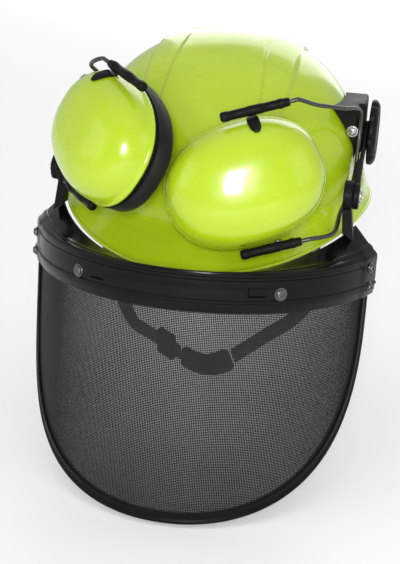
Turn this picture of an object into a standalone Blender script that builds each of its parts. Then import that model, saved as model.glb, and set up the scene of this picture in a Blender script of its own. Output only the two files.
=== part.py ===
"""Forestry helmet kit: hard hat shell with a fold-up mesh face screen and a pair of
ear cups parked against the front of the dome.

Row frame: +X is the wearer's left, -Y the front, +Z up. The origin is the centre of
the head cavity at headband level. Driving sizes are in millimetres and are scaled to
metres when a mesh is made.
"""
import bpy
import bmesh
import math
import numpy as np
from mathutils import Matrix, Vector

MM = 0.001
GAP = 0.35                      # clearance kept between touching pieces

# ---------------------------------------------------------------- shell
SHELL_W = 112.0                 # dome half width at the base
SHELL_F = 112.0                 # dome reach forward at the base
SHELL_R = 124.0                 # dome reach rearward at the base
SHELL_TOP = 138.0               # crown height
SHELL_Z0 = 10.0
SHELL_N = 2.35                  # roundness of the dome profile
CROWN_Y = 22.0                  # the crown sits this far behind the origin
RIM_W, RIM_F, RIM_R = 115.3, 143.0, 129.0
RIM_Z_FRONT, RIM_Z_SIDE, RIM_Z_REAR = 5.0, 26.0, 14.0
WALL = 2.6
FLAT_X = 100.0                  # flattened pad on each side for the slot block

# ---------------------------------------------------------------- side hardware
KNOB_Y, KNOB_Z, KNOB_R = 8.0, 75.5, 24.5
KNOB_X0, KNOB_X1 = 109.15, 115.85   # inner and outer face of the clamp knob
ARM_X = 106.4
BOSS_Y, BOSS_Z, BOSS_R = -75.0, 51.0, 10.5
BOSS_X0, LEG_X1 = 100.0, 106.25
SWIVEL_Y, SWIVEL_Z = -14.0, 88.0

# ---------------------------------------------------------------- visor
VIS_A = 129.5                   # half width of the screen's elliptic wrap
VIS_B = 146.0                   # forward radius of the wrap
VIS_Y = -15.0                   # wrap centre
VIS_Z = -17.0
VIS_TILT = 7.0                  # lower edge leans outward
VIS_H = 167.5                   # screen height along its surface
VIS_T = 70.0                    # half wrap angle
VIS_STRAIGHT = 32.0
VIS_POW = 2.25

# ---------------------------------------------------------------- ear cups
CUP_A, CUP_B, CUP_E, CUP_D = 54.0, 41.0, 2.3, 35.0
CUSH_T = 14.5
PLATE_T = 3.0


def unit(v):
    v = np.asarray(v, float)
    return v / np.linalg.norm(v)


# parked cup poses: centre of the cushion's resting face, outward axis, and the long
# axis that points back to the slot block
CUPS = {
    "left": (np.array([31.9, -100.6, 60.3]), unit([0.193, -0.933, 0.304]), unit([0.896, 0.294, 0.333])),
    "right": (np.array([-46.6, -96.6, 76.8]), unit([-0.685, -0.595, 0.42]), unit([-0.541, 0.802, 0.254])),
}

# ---------------------------------------------------------------- start clean
for ob in list(bpy.data.objects):
    bpy.data.objects.remove(ob, do_unlink=True)

MATS = {}


def material(name, color, rough, metal=0.0, coat=0.0):
    if name in MATS:
        return MATS[name]
    m = bpy.data.materials.new(name)
    m.use_nodes = True
    b = m.node_tree.nodes["Principled BSDF"]
    b.inputs["Base Color"].default_value = (*color, 1.0)
    b.inputs["Roughness"].default_value = rough
    b.inputs["Metallic"].default_value = metal
    b.inputs["Coat Weight"].default_value = coat
    m.diffuse_color = (*color, 1.0)
    MATS[name] = m
    return m


LIME = ((0.52, 0.70, 0.02), 0.22, 0.0, 0.3)
BLACK = ((0.012, 0.013, 0.011), 0.38)
BLACKG = ((0.010, 0.011, 0.010), 0.25)
STEEL = ((0.45, 0.45, 0.44), 0.32, 1.0)
MESHC = ((0.07, 0.065, 0.06), 0.55)
LEATH = ((0.03, 0.03, 0.028), 0.6)
FOAM = ((0.10, 0.10, 0.10), 0.95)
WEB = ((0.05, 0.05, 0.05), 0.9)
GREY = ((0.16, 0.16, 0.16), 0.5)


def make(name, verts, faces, look, smooth=True, sharp=35.0, at=None):
    """One object from points in millimetres; its origin goes to `at`."""
    o = np.zeros(3) if at is None else np.asarray(at, float)
    me = bpy.data.meshes.new(name)
    me.from_pydata([tuple((np.asarray(v, float) - o) * MM) for v in verts], [], [tuple(f) for f in faces])
    bm = bmesh.new()
    bm.from_mesh(me)
    bmesh.ops.recalc_face_normals(bm, faces=bm.faces)
    bm.to_mesh(me)
    bm.free()
    if smooth:
        me.shade_smooth()
        me.set_sharp_from_angle(angle=math.radians(sharp))
    me.materials.append(material("mat_" + name, *look))
    ob = bpy.data.objects.new(name, me)
    ob.location = tuple(o * MM)
    bpy.context.scene.collection.objects.link(ob)
    return ob


def loft(rings, closed_ring=True, caps=True, wrap=False):
    """Skin a list of equal-length rings. wrap joins the last ring to the first."""
    n = len(rings[0])
    verts = [p for r in rings for p in r]
    faces = []
    m = len(rings)
    rows = m if wrap else m - 1
    for i in range(rows):
        a, b = i * n, ((i + 1) % m) * n
        for j in range(n if closed_ring else n - 1):
            k = (j + 1) % n
            faces.append((a + j, a + k, b + k, b + j))
    if caps and not wrap:
        faces.append(tuple(range(n - 1, -1, -1)))
        faces.append(tuple(range((m - 1) * n, m * n)))
    return verts, faces


def sgn_pow(v, p):
    return math.copysign(abs(v) ** p, v)


def lathe(profile, centre, axis, up=(0, 0, 1), sides=20, close=False):
    """Turn (radius, height) pairs about `axis`; a zero radius end closes to a cap."""
    ax = unit(axis)
    u = np.cross(ax, up)
    if np.linalg.norm(u) < 1e-6:
        u = np.cross(ax, (0, 1, 0))
    u = unit(u)
    w = np.cross(ax, u)
    rings = []
    for r, h in profile:
        rings.append([np.asarray(centre, float) + ax * h + (u * math.cos(t) + w * math.sin(t)) * r
                      for t in [2 * math.pi * i / sides for i in range(sides)]])
    return loft(rings, wrap=close, caps=not close)


def basis_prism(centre, ex, ey, ez, outline, h0, h1, bevel=0.0):
    """Extrude a 2D outline in (ex, ey) from h0 to h1 along ez, with small chamfers."""
    c = np.asarray(centre, float)
    o = np.asarray(outline, float)
    mid = o.mean(0)

    def ring(shrink, h):
        pts = []
        for p in o:
            d = p - mid
            L = np.linalg.norm(d)
            q = mid + d * max(0.0, (L - shrink) / L) if L > 1e-9 else p
            pts.append(c + ex * q[0] + ey * q[1] + ez * h)
        return pts
    if bevel > 0:
        rings = [ring(bevel, h0), ring(0, h0 + bevel), ring(0, h1 - bevel), ring(bevel, h1)]
    else:
        rings = [ring(0, h0), ring(0, h1)]
    return loft(rings)


def rounded_rect(w, h, r, n=3):
    pts = []
    for cx, cy, a0 in ((w / 2 - r, h / 2 - r, 0), (-w / 2 + r, h / 2 - r, 90),
                       (-w / 2 + r, -h / 2 + r, 180), (w / 2 - r, -h / 2 + r, 270)):
        for i in range(n + 1):
            a = math.radians(a0 + 90 * i / n)
            pts.append((cx + r * math.cos(a), cy + r * math.sin(a)))
    return pts


def catmull(pts, per):
    """Smooth points through a route; tangents scale with each span, so nothing overshoots."""
    P = [np.asarray(p, float) for p in pts]
    T = []
    for i in range(len(P)):
        a = P[i] - P[i - 1] if i > 0 else P[1] - P[0]
        b = P[i + 1] - P[i] if i < len(P) - 1 else P[-1] - P[-2]
        la, lb = np.linalg.norm(a), np.linalg.norm(b)
        T.append(unit(a / la * lb + b / lb * la) if 0 < i < len(P) - 1 else unit(a))
    out = []
    for i in range(len(P) - 1):
        L = np.linalg.norm(P[i + 1] - P[i])
        for k in range(per):
            t = k / per
            out.append(P[i] * (2 * t ** 3 - 3 * t * t + 1) + T[i] * L * (t ** 3 - 2 * t * t + t)
                       + P[i + 1] * (3 * t * t - 2 * t ** 3) + T[i + 1] * L * (t ** 3 - t * t))
    out.append(P[-1])
    return out


def sweep(path, section, up_hint):
    """Sweep a closed 2D section (side, up) along a path; up_hint is a vector or a list."""
    path = [np.asarray(p, float) for p in path]
    rings = []
    for i, p in enumerate(path):
        t = unit(path[min(i + 1, len(path) - 1)] - path[max(i - 1, 0)])
        uh = up_hint[i] if isinstance(up_hint, list) else np.asarray(up_hint, float)
        side = unit(np.cross(t, uh))
        up = np.cross(side, t)
        sec = section[i] if isinstance(section[0], list) else section
        rings.append([p + side * s[0] + up * s[1] for s in sec])
    return loft(rings)


def circle(r, n):
    return [(r * math.cos(2 * math.pi * i / n), r * math.sin(2 * math.pi * i / n)) for i in range(n)]


def tube_object(name, pts, r, look, at=None, res=2):
    """A round wire as a filled bevelled curve."""
    o = np.zeros(3) if at is None else np.asarray(at, float)
    cu = bpy.data.curves.new(name, "CURVE")
    cu.dimensions = "3D"
    sp = cu.splines.new("POLY")
    sp.points.add(len(pts) - 1)
    for i, p in enumerate(pts):
        q = (np.asarray(p, float) - o) * MM
        sp.points[i].co = (q[0], q[1], q[2], 1.0)
    cu.bevel_depth = r * MM
    cu.bevel_resolution = res
    cu.use_fill_caps = True
    cu.materials.append(material("mat_" + name, *look))
    ob = bpy.data.objects.new(name, cu)
    ob.location = tuple(o * MM)
    bpy.context.scene.collection.objects.link(ob)
    return ob


# ================================================================ shell surface
def smooth01(t):
    t = min(1.0, max(0.0, t))
    return t * t * (3 - 2 * t)


def dome_scale(z):
    k = min(1.0, max(0.0, (z - SHELL_Z0) / (SHELL_TOP - SHELL_Z0)))
    return (1 - k ** SHELL_N) ** (1 / SHELL_N), k


def plan_point(a, w, f, r):
    """Point of an egg-shaped plan outline at azimuth a (0 = +X, -90 deg = front)."""
    c, s = math.cos(a), math.sin(a)
    return np.array([w * c, (f if s < 0 else r) * s])


def rim_z(a):
    s = math.sin(a)
    if s < 0:
        return RIM_Z_FRONT + (RIM_Z_SIDE - RIM_Z_FRONT) * (1 - s * s)
    return RIM_Z_REAR + (RIM_Z_SIDE - RIM_Z_REAR) * (1 - s * s)


def base_z(a):
    return rim_z(a) + 13.0 + 11.0 * max(0.0, -math.sin(a)) ** 2


def flatten(p, inset=0.0):
    """Flattened pads on both sides, where the slot blocks sit."""
    x, y, z = p
    lim = FLAT_X - inset
    w = smooth01((y + 75) / 12.0) * (1 - smooth01((y - 22) / 16.0)) * smooth01((z - 36) / 14.0)
    if w > 0 and abs(x) > lim:
        x = math.copysign(abs(x) * (1 - w) + lim * w, x)
    return np.array([x, y, z])


def panel(p, inset):
    """The raised crown panel: a low central ridge with shoulders."""
    if inset > 0:
        return p
    x, y, z = p
    wide = 53.0 - 10.0 * smooth01((-y - 30) / 80.0)
    fade = smooth01((z - 52) / 34.0)
    h = 2.4 * fade * (1 - smooth01((abs(x) - wide + 4) / 8.0))
    narrow = 29.0 + 6.0 * smooth01((-y + 10) / 90.0)
    h += 1.3 * fade * (1 - smooth01((abs(x) - narrow + 1.5) / 3.0)) * smooth01((-y + 40) / 50.0)
    c = np.array([0, 10, 10.0])
    d = np.asarray(p) - c
    return np.asarray(p) + unit(d) * h


def dome_point(a, z, inset=0.0):
    """Outer (or inset) dome surface at azimuth a and height z."""
    top = SHELL_TOP - inset
    k = min(1.0, max(0.0, (z - SHELL_Z0) / (top - SHELL_Z0)))
    c = (1 - k ** SHELL_N) ** (1 / SHELL_N)
    q = plan_point(a, (SHELL_W - inset) * c, (SHELL_F - inset) * c, (SHELL_R - inset) * c)
    return flatten(np.array([q[0], q[1] + CROWN_Y * k ** 1.5, z]), inset)


def shell_profile(a, inset):
    """Points from the rim lip up to the crown at one azimuth."""
    zr, zb = rim_z(a), base_z(a)
    rim = plan_point(a, RIM_W, RIM_F, RIM_R)
    base = dome_point(a, zb, inset)
    pts = []
    lip = inset * 0.25
    for t, zt in ((0.0, 0.0), (0.22, 0.16), (0.5, 0.36), (0.78, 0.64)):
        q = rim * (1 - t) + base[:2] * t
        d = unit(q)
        q = q - d * lip * (1 if t == 0 else 1.2)
        pts.append(np.array([q[0], q[1], zr + (zb - zr) * zt - inset * 0.9 * (1 if t > 0 else 0)]))
    top = SHELL_TOP - inset
    f0 = math.asin(min(1.0, ((zb - SHELL_Z0) / (top - SHELL_Z0)) ** (SHELL_N / 2)))
    n = 9
    for i in range(n):
        f = f0 + (math.radians(86) - f0) * i / (n - 1)
        z = SHELL_Z0 + (top - SHELL_Z0) * math.sin(f) ** (2 / SHELL_N)
        pts.append(panel(dome_point(a, z, inset), inset))
    return pts


N_AZ = 56
azs = [2 * math.pi * (i + 0.5) / N_AZ for i in range(N_AZ)]
outer = [shell_profile(a, 0.0) for a in azs]
inner = [shell_profile(a, WALL) for a in azs]
for i, a in enumerate(azs):
    inner[i][0] = inner[i][0] + np.array([0, 0, 0.0])
m = len(outer[0])
verts, faces = [], []
for prof in outer:
    verts += prof
off = len(verts)
for prof in inner:
    verts += prof
crown_o = len(verts)
verts.append(panel(np.array([0, CROWN_Y, SHELL_TOP]), 0))
crown_i = len(verts)
verts.append(np.array([0, CROWN_Y, SHELL_TOP - WALL]))
for i in range(N_AZ):
    j = (i + 1) % N_AZ
    for k in range(m - 1):
        faces.append((i * m + k, j * m + k, j * m + k + 1, i * m + k + 1))
        faces.append((off + i * m + k, off + i * m + k + 1, off + j * m + k + 1, off + j * m + k))
    faces.append((i * m + m - 1, j * m + m - 1, crown_o))
    faces.append((off + i * m + m - 1, crown_i, off + j * m + m - 1))
    faces.append((i * m, off + i * m, off + j * m, j * m))
make("helmet_shell", verts, faces, LIME, sharp=40)


def shell_x(y, z, inset=0.0):
    """Half width of the outer surface at (y, z) on the dome's side."""
    top = SHELL_TOP - inset
    k = min(1.0, max(0.0, (z - SHELL_Z0) / (top - SHELL_Z0)))
    c = (1 - k ** SHELL_N) ** (1 / SHELL_N)
    yy = y - CROWN_Y * k ** 1.5
    b = (SHELL_F if yy < 0 else SHELL_R) * c
    s = max(0.0, 1 - (yy / b) ** 2)
    x = SHELL_W * c * math.sqrt(s)
    return flatten(np.array([x, y, z]))[0]


SIDES = (("left", 1.0), ("right", -1.0))     # the wearer's left is +X


def mir(sgn, p):
    return np.array([sgn * p[0], p[1], p[2]])


def mir_pts(sgn, pts):
    return [mir(sgn, p) for p in pts]


def vrot(p, deg, cy, cz):
    """Turn a point about an X axis through (cy, cz); positive lifts the front."""
    t = math.radians(deg)
    y, z = p[1] - cy, p[2] - cz
    return np.array([p[0], cy + y * math.cos(t) + z * math.sin(t), cz - y * math.sin(t) + z * math.cos(t)])


# ================================================================ slot blocks, knobs, visor arms
BLOCK_X = 102.0
PAD_X = 106.05                  # raised rear half of the block, under the arm's eye
for side, s in SIDES:
    # block: its inner face follows the dome, its outer face is flat
    ys = [-22, -6.4, -5.4, 10, 26]
    zs = [63, 72, 82, 91, 100]
    vi, vo = [], []
    for y in ys:
        for z in zs:
            vi.append(np.array([shell_x(y, z) + 1.3, y, z]))
            vo.append(np.array([BLOCK_X if y < -6 else PAD_X, y + (2.0 if y == -22 else -2.0 if y == 26 else 0),
                                z + (2.0 if z == 63 else -2.0 if z == 100 else 0)]))
    n = len(zs)
    V = mir_pts(s, vi + vo)
    F = []
    o = len(vi)
    for i in range(len(ys) - 1):
        for j in range(n - 1):
            a = i * n + j
            F.append((a, a + 1, a + n + 1, a + n))
            F.append((o + a, o + a + n, o + a + n + 1, o + a + 1))
    edge = [i * n for i in range(len(ys))] + [(len(ys) - 1) * n + j for j in range(1, n)] + \
           [i * n + n - 1 for i in range(len(ys) - 2, -1, -1)] + [j for j in range(n - 2, 0, -1)]
    for i in range(len(edge)):
        a, b = edge[i], edge[(i + 1) % len(edge)]
        F.append((a, b, o + b, o + a))
    make("slot_block_" + side, V, F, BLACK, sharp=25)

    # block screw with a domed head, on the block's front face
    c = mir(s, (98.6, -22.0 - GAP, 83.0))
    v, f = lathe([(3.4, 0.0), (3.4, 0.9), (2.6, 2.0), (1.2, 2.5)], c, (0, -1, 0), sides=14)
    make("block_screw_" + side, v, f, STEEL)

    # visor arm: eye on the knob axis, running forward to the pivot boss
    def arm_pt(y, z, x):
        return mir(s, (x, y, z))
    # flat over the block and the fork wire, then thickened inwards
    path = [(0, KNOB_Y, KNOB_Z), (0, -14.5, 69.6), (0, -21.5, 67.4), (0, -38, 62.1), (0, -43.5, 60.4), (0, -55, 56.8), (0, -61.5, 54.8)]
    halfw = [8.5, 7.2, 6.6, 6.3, 6.1, 5.8, 6.4]
    x_in = [ARM_X] * 4 + [103.6, 103.6, 106.6]
    x_out = [108.8, 108.8, 108.8, 109.2, 109.4, 109.6, 109.8]
    rings = []
    # rounded eye end
    d0 = unit(np.array([0, -83.0, -27.0]))
    nrm = np.array([0, 27.0, -83.0]) / math.hypot(83, 27)
    for i, p in enumerate(path):
        p = np.array(p, float)
        a, b = x_in[i], x_out[i]
        h = halfw[i]
        rings.append([mir(s, p + nrm * u + np.array([x, 0, 0])) for x, u in
                      ((a + .6, -h), (b - .6, -h), (b, -h + .8), (b, h - .8), (b - .6, h), (a + .6, h), (a, h - .8), (a, -h + .8))])
    back = []
    for k, ang in enumerate((70, 38)):
        t = math.radians(ang)
        p = np.array(path[0], float) - d0 * 8.5 * math.sin(t)
        h = 8.5 * math.cos(t)
        a, b = x_in[0], x_out[0]
        back.append([mir(s, p + nrm * u + np.array([x, 0, 0])) for x, u in
                     ((a + .6, -h), (b - .6, -h), (b, -h + .8), (b, h - .8), (b - .6, h), (a + .6, h), (a, h - .8), (a, -h + .8))])
    rings = back + rings
    # front end: the fork ear beside the boss, ending round
    for ang in (35, 62, 80):
        p = np.array([0, BOSS_Y, BOSS_Z])
        t = math.radians(ang)
        q = p + d0 * (9.6 * math.sin(t))
        h = 9.6 * math.cos(t)
        a, b = 106.6, 110.2
        rings.append([mir(s, q + nrm * u + np.array([x, 0, 0])) for x, u in
                      ((a + .4, -h), (b - .6, -h), (b, -h * .85), (b, h * .85), (b - .6, h), (a + .4, h), (a, h * .85), (a, -h * .85))])
    # ring just behind the boss centre, full width
    q = np.array([0, BOSS_Y, BOSS_Z]) - d0 * 4.0
    h = 9.2
    a, b = 106.6, 110.2
    rings.insert(len(back) + len(path), [mir(s, q + nrm * u + np.array([x, 0, 0])) for x, u in
                 ((a + .4, -h), (b - .6, -h), (b, -h * .85), (b, h * .85), (b - .6, h), (a + .4, h), (a, h * .85), (a, -h * .85))])
    v, f = loft(rings)
    make("visor_arm_" + side, v, f, BLACK, sharp=30, at=mir(s, (ARM_X, KNOB_Y, KNOB_Z)))

    # clamp knob: chamfered cap with a flat face
    thick = KNOB_X1 - KNOB_X0
    prof = [(20.0, 0.0), (23.6, 0.8), (KNOB_R, 1.8), (KNOB_R, 4.0), (22.9, thick - 0.9), (20.0, thick)]
    v, f = lathe(prof, mir(s, (KNOB_X0, KNOB_Y, KNOB_Z)), (s, 0, 0), sides=30)
    make("clamp_knob_" + side, v, f, BLACK, sharp=25, at=mir(s, (KNOB_X0, KNOB_Y, KNOB_Z)))

    # leg: a thick round head inboard of the arm's ear, and a strap down to the bracket
    # outline in (y, z): round head, then a strap running down to the bracket tab
    outline = []
    for i in range(15):
        a = math.radians(-62 + 304 * i / 14.0)      # leaves the bottom open for the strap
        outline.append((BOSS_Y + BOSS_R * math.cos(a), BOSS_Z + BOSS_R * math.sin(a)))
    outline += [(BOSS_Y - 5.2, 40.6), (BOSS_Y - 5.6, 36.0), (BOSS_Y - 6.4, 28.0), (BOSS_Y - 7.2, 0.0),
                (BOSS_Y + 4.2, 0.0), (BOSS_Y + 4.6, 28.0), (BOSS_Y + 5.0, 36.0), (BOSS_Y + 4.9, 40.6)]
    def xin(z):
        return BOSS_X0 + (0.0 if z > 40 else (40 - z) * 0.09)
    def xout(z):
        return LEG_X1 + (0.0 if z > 40 else (40 - z) * 0.15)
    def foot(x, y, z):
        return z if z > 1 else 25.2 - 0.72 * (x - 101.0) - 0.10 * (y - BOSS_Y)
    v = [mir(s, (xin(z or 21), y, foot(xin(z or 21), y, z))) for y, z in outline] + \
        [mir(s, (xout(z or 18), y, foot(xout(z or 18), y, z))) for y, z in outline]
    k = len(outline)
    side_faces = [tuple(range(15)), (14, 15, 22, 0), (15, 16, 21, 22), (16, 17, 20, 21), (17, 18, 19, 20)]
    f = side_faces + [tuple(k + i for i in reversed(g)) for g in side_faces]
    f += [(i, (i + 1) % k, k + (i + 1) % k, k + i) for i in range(k)]
    make("visor_leg_" + side, v, f, BLACK, sharp=30, at=mir(s, (ARM_X, BOSS_Y, BOSS_Z)))

    # pivot screw head outboard of the arm's ear
    v, f = lathe([(5.2, 0.0), (5.2, 1.0), (4.0, 2.2), (1.6, 2.7)], mir(s, (110.2 + GAP, BOSS_Y, BOSS_Z)), (s, 0, 0), sides=14)
    make("pivot_screw_" + side, v, f, STEEL, at=mir(s, (110.5, BOSS_Y, BOSS_Z)))


# ================================================================ visor surface
def vis(t, d, off=0.0):
    """Screen surface: wrap angle t (deg), distance d down the surface, offset outward."""
    a = math.radians(t)
    p = np.array([(VIS_A + off) * math.sin(a), -(VIS_B + off) * math.cos(a), -d])
    th = math.radians(VIS_TILT)
    y, z = p[1], p[2] - 40
    return np.array([p[0], y * math.cos(th) + z * math.sin(th) + VIS_Y,
                     z * math.cos(th) - y * math.sin(th) + 40 + VIS_Z])


def vis_half(d):
    k = 0.0 if d < VIS_STRAIGHT else (d - VIS_STRAIGHT) / (VIS_H - VIS_STRAIGHT)
    return VIS_T * max(0.0, 1 - k ** VIS_POW) ** (1 / VIS_POW)


def rim_gap_ring(t, top):
    """Inner top lip of the bracket: a point just outside the peak edge at this wrap angle."""
    p = vis(t, 0.0)
    a = math.atan2(p[1] / RIM_F, p[0] / RIM_W)
    q = plan_point(a, RIM_W + 2.6, RIM_F + 2.6, RIM_R)
    return np.array([q[0], q[1], rim_z(a) + top])


# bracket: a shelf out from the peak edge, then a downward face that carries the screen
BT = 72.0
nt = 41
rings = []
for i in range(nt):
    t = -BT + 2 * BT * i / (nt - 1)
    lip = rim_gap_ring(t, 0.5)
    out_top = vis(t, -17.0, 3.0)
    out_low = vis(t, 12.0, 3.0)
    in_low = vis(t, 12.0, 0.9)
    in_mid = vis(t, -3.0, 0.9)
    in_top = vis(t, -14.0, -0.6)
    lip2 = lip + np.array([0, 0, -2.6])
    rings.append([lip, out_top, out_low, in_low, in_mid, in_top, lip2])
v, f = loft(rings)
make("visor_bracket", v, f, BLACKG, sharp=28, at=(0, BOSS_Y, BOSS_Z))


def vis_normal(t):
    a = math.radians(t)
    n = unit(np.array([math.sin(a) / VIS_A, -math.cos(a) / VIS_B, 0.0]))
    th = math.radians(VIS_TILT)
    return np.array([n[0], n[1] * math.cos(th), -n[1] * math.sin(th)])


def stud(name, p, n, r, h, look, at=None, sides=12, gap=GAP):
    v, f = lathe([(r, 0.0), (r, h * 0.35), (r * 0.78, h * 0.8), (r * 0.35, h)], p + n * gap, n, sides=sides)
    make(name, v, f, look, at=at)


PIV = np.array([0, BOSS_Y, BOSS_Z])
for name, t in (("bracket_rivet_left", 31.0), ("bracket_rivet_right", -33.0)):
    stud(name, vis(t, -1.5, 3.0), vis_normal(t), 3.3, 2.0, STEEL, at=PIV)
for side, s in SIDES:
    stud("bracket_screw_upper_" + side, vis(s * 67.5, -9.0, 3.0), vis_normal(s * 67.5), 2.8, 2.8, STEEL, at=PIV)
    stud("bracket_screw_lower_" + side, vis(s * 67.5, 5.0, 3.0), vis_normal(s * 67.5), 2.8, 2.8, STEEL, at=PIV)

# mesh screen: a thin curved sheet hung inside the bracket's face
SCREEN_T = 1.0
D0 = 1.0


def inset_half(d, m):
    """Half wrap angle of the screen outline drawn in by m millimetres."""
    ti, hi = VIS_T - m / 2.42, VIS_H - m
    k = 0.0 if d < VIS_STRAIGHT else min(1.0, (d - VIS_STRAIGHT) / (hi - VIS_STRAIGHT))
    return ti * max(0.0, 1 - k ** VIS_POW) ** (1 / VIS_POW)


def screen_grid(off, margin):
    rows = []
    nd, na = 18, 25
    for i in range(nd):
        a = math.radians(90.0 * max(0, i - 3) / (nd - 4) * 0.965)
        d = D0 + (VIS_STRAIGHT - D0) * i / 3.0 if i < 3 else \
            VIS_STRAIGHT + (VIS_H - margin - VIS_STRAIGHT) * math.sin(a) ** (2 / VIS_POW)
        hw = inset_half(d, margin)
        rows.append([vis(-hw + 2 * hw * j / (na - 1), d, off) for j in range(na)])
    return rows, nd, na


def sheet_solid(name, lo, hi, nd, na, look):
    V = [p for r in lo for p in r] + [p for r in hi for p in r]
    o = nd * na
    F = []
    for i in range(nd - 1):
        for j in range(na - 1):
            a = i * na + j
            F.append((a, a + 1, a + na + 1, a + na))
            F.append((o + a, o + a + na, o + a + na + 1, o + a + 1))
    edge = [j for j in range(na)] + [i * na + na - 1 for i in range(1, nd)] + \
           [(nd - 1) * na + j for j in range(na - 2, -1, -1)] + [i * na for i in range(nd - 2, 0, -1)]
    for i in range(len(edge)):
        a, b = edge[i], edge[(i + 1) % len(edge)]
        F.append((a, b, o + b, o + a))
    make(name, V, F, look, sharp=50, at=PIV)


lo, nd, na = screen_grid(-0.95, 5.2)
hi, nd, na = screen_grid(-0.05, 5.2)
sheet_solid("mesh_screen", lo, hi, nd, na, MESHC)

# screen trim: a channel strip round the free edge, starting just under the bracket
def resample(pts, n):
    P = [vis(t, d) for t, d in pts]
    L = [0.0]
    for i in range(1, len(P)):
        L.append(L[-1] + np.linalg.norm(P[i] - P[i - 1]))
    out = []
    for k in range(n):
        x = L[-1] * k / (n - 1)
        i = min(len(P) - 2, max(0, int(np.searchsorted(L, x)) - 1))
        u = (x - L[i]) / (L[i + 1] - L[i])
        out.append((pts[i][0] * (1 - u) + pts[i + 1][0] * u, pts[i][1] * (1 - u) + pts[i + 1][1] * u))
    return out


outline_td = []
for i in range(121):
    a = math.radians(90.0 * i / 120.0)
    k = math.sin(a) ** (2 / VIS_POW)
    outline_td.append((VIS_T * math.cos(a) ** (2 / VIS_POW), VIS_STRAIGHT + (VIS_H - VIS_STRAIGHT) * k))
outline_td = [(VIS_T, 13.0), (VIS_T, 25.0)] + outline_td
full = [(-t, d) for t, d in outline_td] + [(t, d) for t, d in reversed(outline_td[:-1])]
full = resample(full, 47)
rings = []
for i, (t, d) in enumerate(full):
    p0, p1 = full[max(0, i - 1)], full[min(len(full) - 1, i + 1)]
    tan = vis(*p1) - vis(*p0)
    n = vis_normal(t)
    inw = unit(np.cross(n, unit(tan)))
    c = vis(t, d)
    mid = vis(0, 80)
    if np.dot(inw, mid - c) < 0:
        inw = -inw
    q = c + inw * 1.0
    w = 8.0
    rings.append([q + n * 1.9, q + inw * w + n * 1.9, q + inw * w + n * 0.8, q + inw * 2.4 + n * 0.8,
                  q + inw * 2.4 - n * 1.8, q + inw * w - n * 1.8, q + inw * w - n * 2.9, q - n * 2.9])
v, f = loft(rings)
make("screen_trim", v, f, BLACK, sharp=30, at=PIV)


# ================================================================ ear cups
def cup_frame(side):
    c, n, e1 = CUPS[side]
    e1 = unit(e1 - n * np.dot(e1, n))
    e2 = np.cross(n, e1)
    if e2[2] < 0:
        e2 = -e2
    return c, e1, e2, n


def egg(r, a=CUP_A, b=CUP_B, k=28, grow=0.0, start=0.0):
    out = []
    for i in range(k):
        t = 2 * math.pi * (i + start) / k
        x = (a + grow) * r * sgn_pow(math.cos(t), 2 / CUP_E)
        y = (b + grow) * r * sgn_pow(math.sin(t), 2 / CUP_E)
        out.append((x, y))
    return out


def place(fr, u, v, h):
    c, e1, e2, n = fr
    return c + e1 * u + e2 * v + n * h


CUP_N = 2.5
H0 = CUSH_T + PLATE_T + 2 * GAP
SLV_R = 3.4                         # fork sleeve radius
# fork direction in each cup's (long, cross, outward) axes; sleeves as start, end, offset, height
FORKS = {
    "left": dict(along=(0.9962, -0.087, 0.0), upper=(-7.0, 40.0, 45.5, 35.0), lower=(-14.0, 28.0, -46.4, 24.0), pin=13.0),
    "right": dict(along=(0.980, -0.170, 0.105), upper=(-30.0, 16.0, 45.2, 36.0), lower=(-11.0, 27.0, -46.9, 16.0), pin=9.0),
}


def fork_axes(side):
    """The fork's slide direction and the direction from its lower to its upper sleeve."""
    fr = cup_frame(side)
    a = unit(FORKS[side]["along"])
    b = unit((-a[1], a[0], 0.0))
    w = lambda v: fr[1] * v[0] + fr[2] * v[1] + fr[3] * v[2]
    return w(a), w(b)


def fork_pt(side, s_, t_, h_):
    """A point at distance s_ along the fork; h_ is its height where the pivots are."""
    q = FORKS[side]
    fr = cup_frame(side)
    a = unit(q["along"])
    s1, s2 = fork_axes(side)
    base = fr[0] + fr[1] * (a[0] * q["pin"]) + fr[2] * (a[1] * q["pin"])
    return base + s1 * (s_ - q["pin"]) + s2 * t_ + fr[3] * h_


def tilt_ends(side):
    q = FORKS[side]
    return [fork_pt(side, q["pin"], q[k][2], q[k][3]) for k in ("lower", "upper")]


def tilt_mid(side):
    a, b = tilt_ends(side)
    return (a + b) / 2


def dome_rings(fr, h_base, depth, a, b, count, k=28):
    rings = []
    for i in range(count):
        u = math.radians(88.0 * i / (count - 1))
        r = math.cos(u) ** (2 / CUP_N)
        h = h_base + depth * math.sin(u) ** (2 / CUP_N)
        rings.append([place(fr, x, y, h) for x, y in egg(r, a, b, k)])
    return rings


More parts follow.
